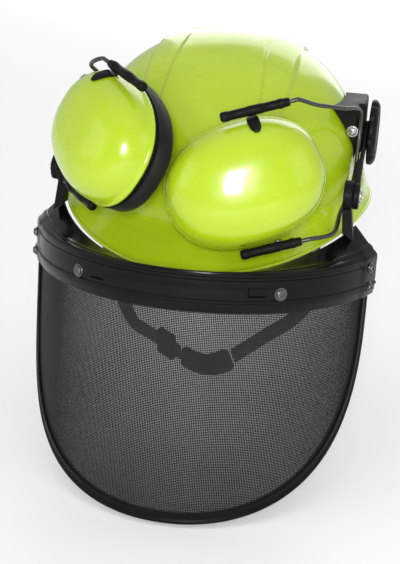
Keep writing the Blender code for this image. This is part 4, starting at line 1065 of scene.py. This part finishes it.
def build_cups(side, s):
    fr = cup_frame(side)
    c, e1, e2, n = fr
    body = "cup_" + side
    K = 120

    def ring(h, grow=0.0, r=1.0):
        return [place(fr, x, y, h) for x, y in egg(r, k=K, grow=grow)]
    # hard cup: rolled rim bead, straight skirt, soft dome
    ro = [ring(H0 - 0.2, -1.2), ring(H0 - 0.25, -0.2), ring(H0, 0.45), ring(H0 + 0.8, 0.85), ring(H0 + 1.9, 0.85), ring(H0 + 2.6, 0.35), ring(H0 + 3.0, 0.02)]
    for i in range(4, 49):
        u = math.radians(89.2 * i / 48)
        r = math.cos(u) ** (2 / CUP_N)
        h = H0 + CUP_D * math.sin(u) ** (2 / CUP_N)
        if h > H0 + 3.3:
            ro.append(ring(h, r=r))
    ri = []
    for i in range(22):
        u = math.radians(88.0 * i / 21)
        r = math.cos(u) ** (2 / CUP_N)
        h = H0 + (CUP_D - 2.4) * math.sin(u) ** (2 / CUP_N)
        ri.append([place(fr, x, y, h) for x, y in egg(r, CUP_A - 2.4, CUP_B - 2.4, K)])
    v, f = loft(list(reversed(ro)) + ri)
    make("cup_" + side, v, f, M_CUP, body, ("cup_shell_" + side,), sharp=45)
    # back plate with a stepped edge
    o = [ring(h, g) for g, h in ((0.2, CUSH_T + GAP), (0.8, CUSH_T + GAP + 0.4), (0.95, CUSH_T + GAP + 1.2), (0.2, CUSH_T + GAP + 1.5),
                                 (0.2, CUSH_T + GAP + 2.2), (0.6, CUSH_T + GAP + 2.5), (0.4, CUSH_T + GAP + 3.0), (-14.0, CUSH_T + GAP + PLATE_T), (-14.0, CUSH_T + GAP))]
    v, f = loft(o, wrap=True)
    make("plate_" + side, v, f, M_BLACK, body, ("cup_plate_" + side,), sharp=30)
    # cushion ring: sewn at both edges, puffed between
    KC = 72
    sec = [(-2.2, 1.0), (-0.4, 2.9), (0.3, 5.2), (0.5, 8.0), (0.2, 10.6), (-0.6, 12.6), (-1.9, CUSH_T), (-4.5, CUSH_T), (-8.0, CUSH_T), (-13.2, CUSH_T),
           (-15.4, 12.0), (-16.2, 9.0), (-16.2, 6.0), (-15.0, 3.2), (-12.6, 1.2), (-9.5, 0.3), (-5.5, 0.2)]
    rings = []
    for i, (g, h) in enumerate(sec):
        rr = []
        for j, (x, y) in enumerate(egg(1.0, k=KC, grow=g)):
            t = 2 * math.pi * j / KC
            w = 0.22 * math.sin(t * 17 + 1.3 * s) * math.sin(t * 5 + 0.7) + 0.14 * math.sin(t * 29 + 2.1)
            k = max(0.0, math.sin(math.pi * min(1.0, h / CUSH_T)))
            rr.append(place(fr, x * (1 + w * k * 0.004), y * (1 + w * k * 0.005), h + (w * 0.35 if 0 < h < CUSH_T - 0.1 else 0.0)))
        rings.append(rr)
    v, f = loft(rings, wrap=True)
    ob = make("cushion_" + side, v, f, M_SKIN, body, ("cup_cushion_" + side,), sharp=None)
    pins = [i * KC + j for i in (6, 7, 8, 9) for j in range(KC)]
    soft_sim(ob, pins, 3.0, 1.1)
    # seam piping round the cushion's outer and inner edges
    for tag, g, h in (("outer", -0.9, CUSH_T - 0.75), ("inner", -14.6, CUSH_T - 1.2)):
        path = ring(h, g)
        P = path + [path[0]]
        x, y, z = None, None, None
        rings2 = []
        m = len(path)
        for j in range(m):
            t = unit(path[(j + 1) % m] - path[j - 1])
            bx = unit(np.cross(t, n))
            rings2.append([path[j] + (bx * math.cos(q) + n * math.sin(q)) * 0.55 for q in [2 * math.pi * k / 8 for k in range(8)]])
        v, f = loft(rings2, wrap=True)
        p_ = make("cushion_seam_%s_%s" % (tag, side), v, f, M_SKIN, body, (), sharp=None)
    # foam liner
    o = [[place(fr, x, y, h + 0.5 * math.sin(x * 0.45) * math.cos(y * 0.5 + s)) for x, y in egg(1.0, grow=g, k=64)] for g, h in
         ((-30.0, H0 + 1.1), (-22.0, H0 + 0.9), (-14.0, H0 + 0.9), (-8.0, H0 + 1.0), (-5.9, H0 + 1.8), (-5.3, H0 + 5.0), (-6.2, H0 + 9.0), (-9.0, H0 + 12.6), (-14.0, H0 + 15.2), (-22.0, H0 + 15.8))]
    v, f = loft(o)
    ob = make("liner_" + side, v, f, M_FOAM, body, ("cup_foam_" + side,), sharp=None)

    # sleeves: tubes with end collars and a stepped mouth
    q = FORKS[side]
    for tag in ("upper", "lower"):
        u0, u1, t, h = q[tag]
        mid = 0.5 * (u0 + u1)
        prof = [(0.8, u0), (1.9, u0 + 0.1), (2.8, u0 + 0.6), (3.3, u0 + 1.5), (3.45, u0 + 2.6), (3.45, u0 + 5.2), (3.15, u0 + 5.8), (3.15, mid - 5.5), (3.4, mid - 5.0), (3.4, mid + 5.0), (3.15, mid + 5.5),
                (3.15, u1 - 8.0), (3.45, u1 - 7.4), (3.45, u1 - 4.6), (3.05, u1 - 4.2), (3.05, u1 - 3.2), (2.9, u1 - 1.2), (2.7, u1), (1.95, u1), (1.9, u1 - 2.0), (1.9, u0 + 3.0)]
        v, f = lathe(prof, fork_pt(side, 0.0, t, h), fork_axes(side)[0], 40)
        make("sleeve_%s_%s" % (tag, side), v, f, M_BLACK, "muff_slide_" + side, ("fork_sleeve_%s_%s" % (tag, side),), sharp=32)
        c0 = fork_pt(side, q["pin"], t, h)
        uc, vc = float(np.dot(c0 - c, e1)), float(np.dot(c0 - c, e2))
        if tag == "upper":
            # hooked lug that follows the dome's side
            edge = (1 - (abs(uc) / CUP_A) ** CUP_E) ** (1 / CUP_E)
            inn, out, wid = [], [], []
            for hh in np.linspace(h - 4.5, h + 11.0, 24):
                half = (CUP_B * edge) * (1 - (max(hh - H0, 0.0) / CUP_D) ** CUP_N) ** (1 / CUP_N)
                inn.append((half + 0.55, hh))
                reach = math.sqrt(max((3.45 + GAP + 0.1) ** 2 - (hh - h) ** 2, 0.0))
                out.append((max(half + 0.95, min(half + 2.6, vc - reach - 0.1 - 4.0 * abs(q["along"][1]))), hh))
                z = (hh - h + 4.5) / 15.5
                wid.append(4.0 * math.sqrt(max(0.12, 1 - (abs(2 * z - 1)) ** 4)))
            ring = inn + out[::-1]
            wd = wid + wid[::-1]
            layers = []
            for kx in (-1.0, -0.93, 0.93, 1.0):
                ins = 0.25 if abs(kx) == 1.0 else 0.0
                layers.append([place(fr, uc + w_ * kx, y - (ins if i >= len(inn) else -ins), z) for i, ((y, z), w_) in enumerate(zip(ring, wd))])
            m_ = len(ring)
            k2 = len(inn)
            vv = [pt for lay in layers for pt in lay]
            ff = []
            for i in range(k2 - 1):
                ff.append((i, i + 1, m_ - 2 - i, m_ - 1 - i))
                o_ = 3 * m_
                ff.append((o_ + i, o_ + m_ - 1 - i, o_ + m_ - 2 - i, o_ + i + 1))
            for L_ in range(3):
                ff += [(L_ * m_ + i, (L_ + 1) * m_ + i, (L_ + 1) * m_ + (i + 1) % m_, L_ * m_ + (i + 1) % m_) for i in range(m_)]
            make("lug_" + side, vv, ff, M_BLACK, "muff_slide_" + side, ("cup_pin_upper_" + side,), sharp=35)
        else:
            edge = (1 - (abs(uc) / (CUP_A + 1.0)) ** CUP_E) ** (1 / CUP_E)
            root = -(CUP_B + 1.7) * edge - 0.45
            L = max(root - (vc + 3.4 + GAP + 0.1), 0.5)
            v, f = lathe([(1.2, 0.0), (2.1, 0.05), (2.3, 0.25), (2.3, L + 0.3), (2.0, L + 0.55)], place(fr, uc, root, h), -e2, 32)
            make("pin_lower_" + side, v, f, M_DARKSTEEL, "muff_slide_" + side, ("cup_pin_lower_" + side,), sharp=35)

    # wire fork
    uu, lo = q["upper"], q["lower"]
    up_in, lo_in = fork_pt(side, uu[0] + 12.0, uu[2], uu[3]), fork_pt(side, lo[0] + 12.0, lo[2], lo[3])
    up_a, up_b = fork_pt(side, uu[1] + 2.5, uu[2], uu[3]), fork_pt(side, uu[1] + 6.0, uu[2], uu[3])
    lo_a, lo_b = fork_pt(side, lo[1] + 2.5, lo[2], lo[3]), fork_pt(side, lo[1] + 6.0, lo[2], lo[3])
    if side == "left":
        mid_lo = [(91.0, -117.5, 33.5), (96.0, -107, 32.5), (97.5, -95, 31.5), (97.6, -82, 32.0), (97.8, -70, 34.5), (99.5, -59, 39), (102.3, -46, 46.0), (103.8, -33, 55), (104.0, -27, 66), (104.0, -25, 77)]
        mid_up = [(103.8, -28, 99), (100.5, -40, 104.5), (94.5, -57, 108), (86.0, -74, 112.5), (77.0, -90, 117.0)]
    else:
        mid_lo = [(-97.2, -84.5, 48.0), (-95.8, -74, 49.0), (-97.0, -58, 50.5), (-100.6, -44, 56.5), (-103.5, -31, 70.0)]
        mid_up = [(-104.0, -26.5, 97), (-101.0, -31, 103), (-92.0, -39, 110), (-85.0, -52, 116.5), (-85.2, -70, 126.0), (-79.8, -80.5, 131.8), (-72.0, -88.0, 135.5)]
    apex = (s * 104.0, SWIVEL_Y - 9.2, SWIVEL_Z)
    route = [np.array(q, float) for q in mid_lo] + [np.array(apex, float)] + [np.array(q, float) for q in mid_up]
    pts = [lo_in] + catmull([lo_a, lo_b] + route + [up_b, up_a], 14) + [up_in]
    v, f = tube(pts, 1.5, 16)
    make("fork_" + side, v, f, M_STEEL, "muff_arm_" + side, ("muff_fork_" + side,), sharp=50)


for side, s in SIDES:
    build_cups(side, s)


# ================================================================ head harness
def hb_z(a):
    return -6.0 - 13.0 * math.sin(a) ** 2


def band(a0, a1, n, half_w, f, r, z_fn, section):
    """Band on edge; section(a, u) gives (outward, up) points for that azimuth."""
    rings, angs = [], []
    for i in range(n):
        a = math.radians(a0 + (a1 - a0) * i / (n - 1))
        q = plan_point(a, half_w, f, r)
        d = unit(np.array([q[0], q[1] * (half_w / (f if math.sin(a) < 0 else r)) ** 2, 0]))
        p = np.array([q[0], q[1], z_fn(a)])
        rings.append([p + d * o + np.array([0, 0, u]) for o, u in section(a, i / (n - 1))])
    return rings


def band_section(h, t, rib=0.5):
    hh = h / 2
    return [(0.2, hh), (t - 0.2, hh), (t, hh - 0.4), (t, hh - 2.0), (t - rib, hh - 2.6), (t - rib, -hh + 2.6), (t, -hh + 2.0), (t, -hh + 0.4), (t - 0.2, -hh), (0.2, -hh), (0.0, -hh + 0.3), (0.0, hh - 0.3)]


v, f = loft(band(-195, 15, 141, HB_W, HB_F, HB_R, hb_z, lambda a, u: band_section(26.0 - 8.0 * smooth01((abs(u - 0.5) - 0.44) / 0.06), HB_T)))
make("head_band", v, f, M_GREY, "helmet", ("headband",), sharp=35)


def nape_h(a):
    return 18.0 + 14.0 * smooth01((math.sin(a) - 0.5) * 2)


v, f = loft(band(2, 178, 141, HB_W + HB_T + 1.7, HB_F, HB_R + HB_T + 3.4, lambda a: hb_z(a) - 4.0 * math.sin(a) ** 2,
                 lambda a, u: band_section(nape_h(a), 2.0)))
make("nape_band", v, f, M_GREY, "nape", ("nape_strap",), sharp=35)

# sweatband: stitched pad, inflated between its sewn edges
def pad_section(a, u):
    e = min(u, 1 - u)
    k = smooth01(e / 0.03)
    h, t = 15.0 * (0.88 + 0.12 * k), 3.1 * (0.35 + 0.65 * k)
    return [(3.2, h), (3.4, h * 0.5), (3.4, 0.0), (3.4, -h * 0.5), (3.2, -h), (2.6, -h), (3.4 - t * 0.75, -h * 0.88), (3.4 - t, -h * 0.62), (3.4 - t, -h * 0.3), (3.4 - t, 0.0),
            (3.4 - t, h * 0.3), (3.4 - t, h * 0.62), (3.4 - t * 0.75, h * 0.88), (2.6, h)]


rings = band(-150, -30, 91, HB_W - 4.4, HB_F - 4.4, HB_R, hb_z, pad_section)
v, f = loft(rings)
sweat = make("sweat_pad", v, f, M_PAD, "helmet", ("sweatband",), sharp=None)
m = len(rings[0])
soft_sim(sweat, [i * m + j for i in range(len(rings)) for j in (0, 1, 2, 3, 4, 5, 13)] + list(range(m)) + list(range((len(rings) - 1) * m, len(rings) * m)), 2.5, 0.8)
# stitches along both edges of the sweatband
V, F = [], []
for sg in (1, -1):
    for i in range(2, 118):
        a = math.radians(-149 + 118 * i / 119.0)
        q = plan_point(a, HB_W - 4.4, HB_F - 4.4, HB_R)
        d = unit(np.array([q[0], q[1] * ((HB_W - 4.4) / (HB_F - 4.4)) ** 2, 0]))
        tn = np.array([-d[1], d[0], 0])
        p = np.array([q[0], q[1], hb_z(a) + sg * 13.4]) + d * 0.95
        v, f = prism(p, tn, np.array([0, 0, 1.0]), -d, rounded_rect(1.35, 0.5, 0.24, 2), [(0.0, 0.0), (0.0, 0.25), (0.12, 0.4)])
        V, F = join((V, F), (v, f)) if V else (v, f)
make("sweat_stitches", V, F, M_WEB2, "helmet", (), sharp=40)

HOUSE_Y = HB_R + HB_T + 3.4 + 2.0 + GAP
NAPE_Z = -23.0
EX, EY, EZ = np.array([1.0, 0, 0]), np.array([0, 1.0, 0]), np.array([0, 0, 1.0])
v, f = prism((0, HOUSE_Y + 0.6, NAPE_Z), EX, EZ, EY, rounded_rect(58, 27, 9, 10), [(1.2, 0.0), (0.3, 0.5), (0.0, 1.4), (0.0, 4.6), (0.4, 5.9), (1.3, 6.8), (3.4, 7.6), (6.0, 8.0)])
make("nape_housing", v, f, M_BLACK, "nape", ("ratchet_housing",), sharp=28)


def knurl(a, k):
    return -0.9 * (0.5 + 0.5 * math.cos(a * 12)) ** 3 if 1 <= k <= 8 else 0.0


v, f = lathe([(11.0, 8.35), (13.6, 8.5), (14.2, 9.0), (14.5, 9.8), (14.5, 14.0), (14.5, 16.6), (14.2, 17.6), (13.6, 18.4), (12.8, 18.9), (10.4, 19.0), (10.0, 18.3), (9.0, 18.1), (5.0, 18.2), (1.0, 18.3)],
             (0, HOUSE_Y + 0.6, NAPE_Z), (0, 1, 0), 144, wobble=knurl)
make("nape_knob", v, f, M_KNOB, "ratchet_knob", ("ratchet_knob",), sharp=30)


def tape(name, path, width, thick, hint, mat, body, node, n=9):
    (v, f), rings = sweep(path, soft_section(width, thick, n), hint)
    uv = []
    L = 0.0
    prev = None
    for r in rings:
        c = sum(r) / len(r)
        L += 0.0 if prev is None else np.linalg.norm(c - prev)
        prev = c
        ax = unit(r[n - 1] - r[0])
        uv += [(L, float(np.dot(p - c, ax)) + width / 2) for p in r]
    return make(name, v, f, mat, body, node, sharp=60, uv=uv)


# crown cradle
CLIPS = []
for name, ang, lift in (("crown_strap_a", 42.0, 0.0), ("crown_strap_b", 138.0, 3.2)):
    a = math.radians(ang)
    d = np.array([math.cos(a), math.sin(a), 0])
    sv = np.array([-math.sin(a), math.cos(a), 0])
    path, ups = [], []
    nn_ = 81
    rx = 1.0 / math.sqrt((d[0] / 88.0) ** 2 + (d[1] / 100.0) ** 2)
    for i in range(nn_):
        t = math.pi * (0.035 + 0.93 * i / (nn_ - 1))
        path.append(d * rx * math.cos(t) + np.array([0, 8.0 * math.sin(t), 24.0 + (76.0 + lift) * math.sin(t)]))
    for i in range(nn_):
        tn = unit(path[min(i + 1, nn_ - 1)] - path[max(0, i - 1)])
        nv = unit(np.cross(tn, sv))
        ups.append(nv if nv[2] > 0 or abs(nv[2]) < 0.2 and np.dot(nv, path[i]) > 0 else -nv)
    ups = [u if np.dot(u, p - np.array([0, 4, 24.0])) > 0 else -u for u, p in zip(ups, path)]
    tape("cradle_" + name[-1], path, 19.0, 1.6, ups, M_WEB, "helmet", (name,))
    CLIPS.append((name[-1] + "_" + ("front" if ang > 90 else "rear"), path[0], ang, 1.0))
    CLIPS.append((name[-1] + "_" + ("rear" if ang > 90 else "front"), path[-1], ang, -1.0))
for tag, p, ang, sg in CLIPS:
    a = math.radians(ang)
    d = np.array([math.cos(a), math.sin(a), 0]) * sg
    sv = np.array([-math.sin(a), math.cos(a), 0])
    v, f = prism(p + np.array([0, 0, -GAP - 0.1]) + d * -1.0, d, sv, np.array([0, 0, -1.0]), rounded_rect(6.0, 24.0, 1.6, 5),
                 [(0.9, 0.6), (0.25, 0.9), (0.0, 1.6), (0.0, 5.0), (0.55, 5.3), (0.55, 6.1), (0.0, 6.4), (0.0, 14.0), (0.3, 14.7), (1.0, 15.0)])
    make("hook_" + tag, v, f, M_GREY, "helmet", ("hanger_" + tag,), sharp=30)

# chin strap
for side, s in SIDES:
    a0 = math.radians(-16)
    q = plan_point(a0, HB_W, HB_F, HB_R)
    d = unit(np.array([q[0], q[1] * (HB_W / HB_F) ** 2, 0]))
    tv = np.array([-d[1], d[0], 0])
    c = np.array([q[0], q[1], -9.0]) + d * (HB_T + 2 * GAP)
    v, f = prism(mir(s, c), mir(s, tv), EZ, mir(s, d), rounded_rect(22, 20, 4, 7), [(0.8, 0.0), (0.1, 0.3), (0.0, 0.8), (0.0, 1.7), (0.4, 2.3), (1.4, 2.6), (4.0, 2.6), (4.4, 2.1), (6.4, 2.0)])
    make("anchor_" + side, v, f, M_GREY, "helmet", ("strap_anchor_" + side,), sharp=30)
CH_A, CH_B = np.array([-46.0, -35.6, -88.6]), np.array([-15.0, -53.0, -95.6])
CH_D = unit(CH_B - CH_A)
path = catmull([(80.6, -22, -22.5), (79.0, -21, -40), (69.0, -24, -65), (46, -38, -80.5), (24.5, -52.6, -93.5)], 14)
tape("strap_left", path, 15.0, 1.6, (0.5, -0.78, -0.3), M_WEB, "helmet", ("chin_strap_left",))
path = catmull([(-80.6, -22, -22.5), (-79.0, -21, -42), (-70, -24, -66), (-58, -30.5, -84.5), tuple(CH_A)], 14) + [CH_A + (CH_B - CH_A) * t for t in (0.1, 0.3, 0.5, 0.75, 1.0)]
tape("strap_right", path, 15.0, 1.6, (-0.35, -0.85, -0.35), M_WEB, "helmet", ("chin_strap_right",))
# chin pad
pad = catmull([(-13.6, -53.9, -96.2), (-4, -57.0, -98.6), (6, -58.0, -99.6), (15, -56.6, -97.8), (23.4, -53.4, -94.2)], 9)


def pad_sec(u):
    e = min(u, 1 - u)
    k = 0.55 + 0.45 * smooth01(e / 0.10)
    w = 11.6 * (0.8 + 0.2 * smooth01(e / 0.08))
    return [(-w, 1.6), (-w * 0.94, 0.9), (-w * 0.6, 0.5), (-w * 0.2, 0.4), (w * 0.2, 0.4), (w * 0.6, 0.5), (w * 0.94, 0.9), (w, 1.6),
            (w * 0.96, 2.3), (w * 0.7, 1.6 + 2.4 * k), (w * 0.3, 1.6 + 2.9 * k), (-w * 0.3, 1.6 + 2.9 * k), (-w * 0.7, 1.6 + 2.4 * k), (-w * 0.96, 2.3)]


(v, f), rings = sweep(pad, pad_sec, (0.0, -0.94, -0.34))
chin = make("chin_cushion", v, f, M_PAD, "helmet", ("chin_pad",), sharp=None)
m = len(rings[0])
soft_sim(chin, [i * m + j for i in range(len(rings)) for j in (0, 7)] + list(range(m)) + list(range((len(rings) - 1) * m, len(rings) * m)), 2.5, 0.9)
# ladder adjuster
mid = CH_A * 0.42 + CH_B * 0.58
nrm = np.array([-0.35, -0.85, -0.35])
side_v = unit(np.cross(CH_D, nrm))
up_v = np.cross(side_v, CH_D)
mid = mid + up_v * 0.8
rings = []
for w, h, l in ((22.0, 5.6, -8.0), (23.0, 6.6, -7.7), (23.8, 7.2, -7.0), (24.0, 7.4, -6.0), (24.0, 7.4, -3.4), (23.4, 6.6, -3.0), (23.4, 6.6, -1.6), (24.0, 7.4, -1.2), (24.0, 7.4, 1.2), (23.4, 6.6, 1.6),
                (23.4, 6.6, 3.0), (24.0, 7.4, 3.4), (24.0, 7.4, 6.0), (23.8, 7.2, 7.0), (23.0, 6.6, 7.7), (22.0, 5.6, 8.0), (16.8, 3.0, 8.0), (16.6, 2.8, 0.0), (16.8, 3.0, -8.0)):
    ring = []
    for x, y in rounded_rect(w, h, min(w, h) * 0.22, 4):
        ring.append(mid + side_v * x + up_v * y + CH_D * l)
    rings.append(ring)
v, f = loft(rings, wrap=True)
make("strap_slider", v, f, M_GREY, "strap_adjuster", ("strap_adjuster",), sharp=30)


# ================================================================ stage
lo, hi = (np.array(q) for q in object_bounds())
bm = bmesh.new()
bmesh.ops.create_grid(bm, x_segments=1, y_segments=1, size=9.0)
me = bpy.data.meshes.new("floor")
bm.to_mesh(me)
bm.free()
floor = bpy.data.objects.new("floor", me)
floor.location = (0, 0, lo[2] - 0.002)
bpy.context.scene.collection.objects.link(floor)
m_floor, nt, b = new_mat("floor_paper", (0.96, 0.96, 0.96), 0.85, spec=0.1)
co = objco(nt)
nt.links.new(ramp(nt, noise(nt, co, 3.0), [(0.2, (0.96, 0.96, 0.96)), (0.8, (0.98, 0.98, 0.98))]), b.inputs["Base Color"])
me.materials.append(m_floor)
floor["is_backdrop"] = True

sc = bpy.context.scene
w = bpy.data.worlds.new("studio")
w.use_nodes = True
w.node_tree.nodes["Background"].inputs["Color"].default_value = (1.0, 1.0, 1.0, 1.0)
w.node_tree.nodes["Background"].inputs["Strength"].default_value = 0.54
sc.world = w

# ---------------------------------------------------------------- camera at the photograph's angle
AZ, EL, ROLL, DIST, FPX = 10.0, 22.0, 2.7, 1000.0, 1280.0
T = np.array([-9.0, -20.0, -49.2])
az, el, ro = (math.radians(q) for q in (AZ, EL, ROLL))
back = np.array([math.sin(az) * math.cos(el), -math.cos(az) * math.cos(el), math.sin(el)])
right = np.array([math.cos(az), math.sin(az), 0.0])
up = np.cross(back, right)
cx = math.cos(ro) * right + math.sin(ro) * up
cy = -math.sin(ro) * right + math.cos(ro) * up
C = (T + DIST * back) * MM
cam_d = bpy.data.cameras.new("camera")
cam_d.sensor_fit = "VERTICAL"
cam_d.sensor_height = 36.0
cam_d.lens = 36.0 * FPX / 564.0
cam_d.clip_start = 0.05
cam_d.clip_end = 60.0
cam = bpy.data.objects.new("camera", cam_d)
M = Matrix(((cx[0], cy[0], back[0], C[0]), (cx[1], cy[1], back[1], C[1]), (cx[2], cy[2], back[2], C[2]), (0, 0, 0, 1)))
cam.matrix_world = M
sc.collection.objects.link(cam)
sc.camera = cam


def area(name, loc, target, size, power, color=(1, 1, 1), size_y=None):
    d = bpy.data.lights.new(name, "AREA")
    d.energy = power * 0.56
    d.color = color
    d.size = size
    if size_y:
        d.shape = "RECTANGLE"
        d.size_y = size_y
    o = bpy.data.objects.new(name, d)
    o.location = loc
    o.rotation_euler = (Vector(target) - Vector(loc)).to_track_quat("-Z", "Y").to_euler()
    sc.collection.objects.link(o)
    return o


area("key", (0.28, -1.9, 0.72), (0, 0, 0), 0.36, 47.0, size_y=0.60)
area("top", (0.0, 0.1, 1.9), (0, 0, 0), 2.2, 6.0)
area("fill_left", (-1.8, -0.9, 0.8), (0, 0, 0), 1.4, 9.0)
area("fill_right", (1.9, -0.5, 0.9), (0, 0, 0), 1.4, 8.0)
area("backdrop", (0.0, 2.9, 1.0), (0, 1.5, -0.15), 2.4, 56.0)

sc.view_settings.view_transform = "Standard"
sc.view_settings.look = "None"
sc.view_settings.exposure = 0.0
sc.view_settings.gamma = 1.0
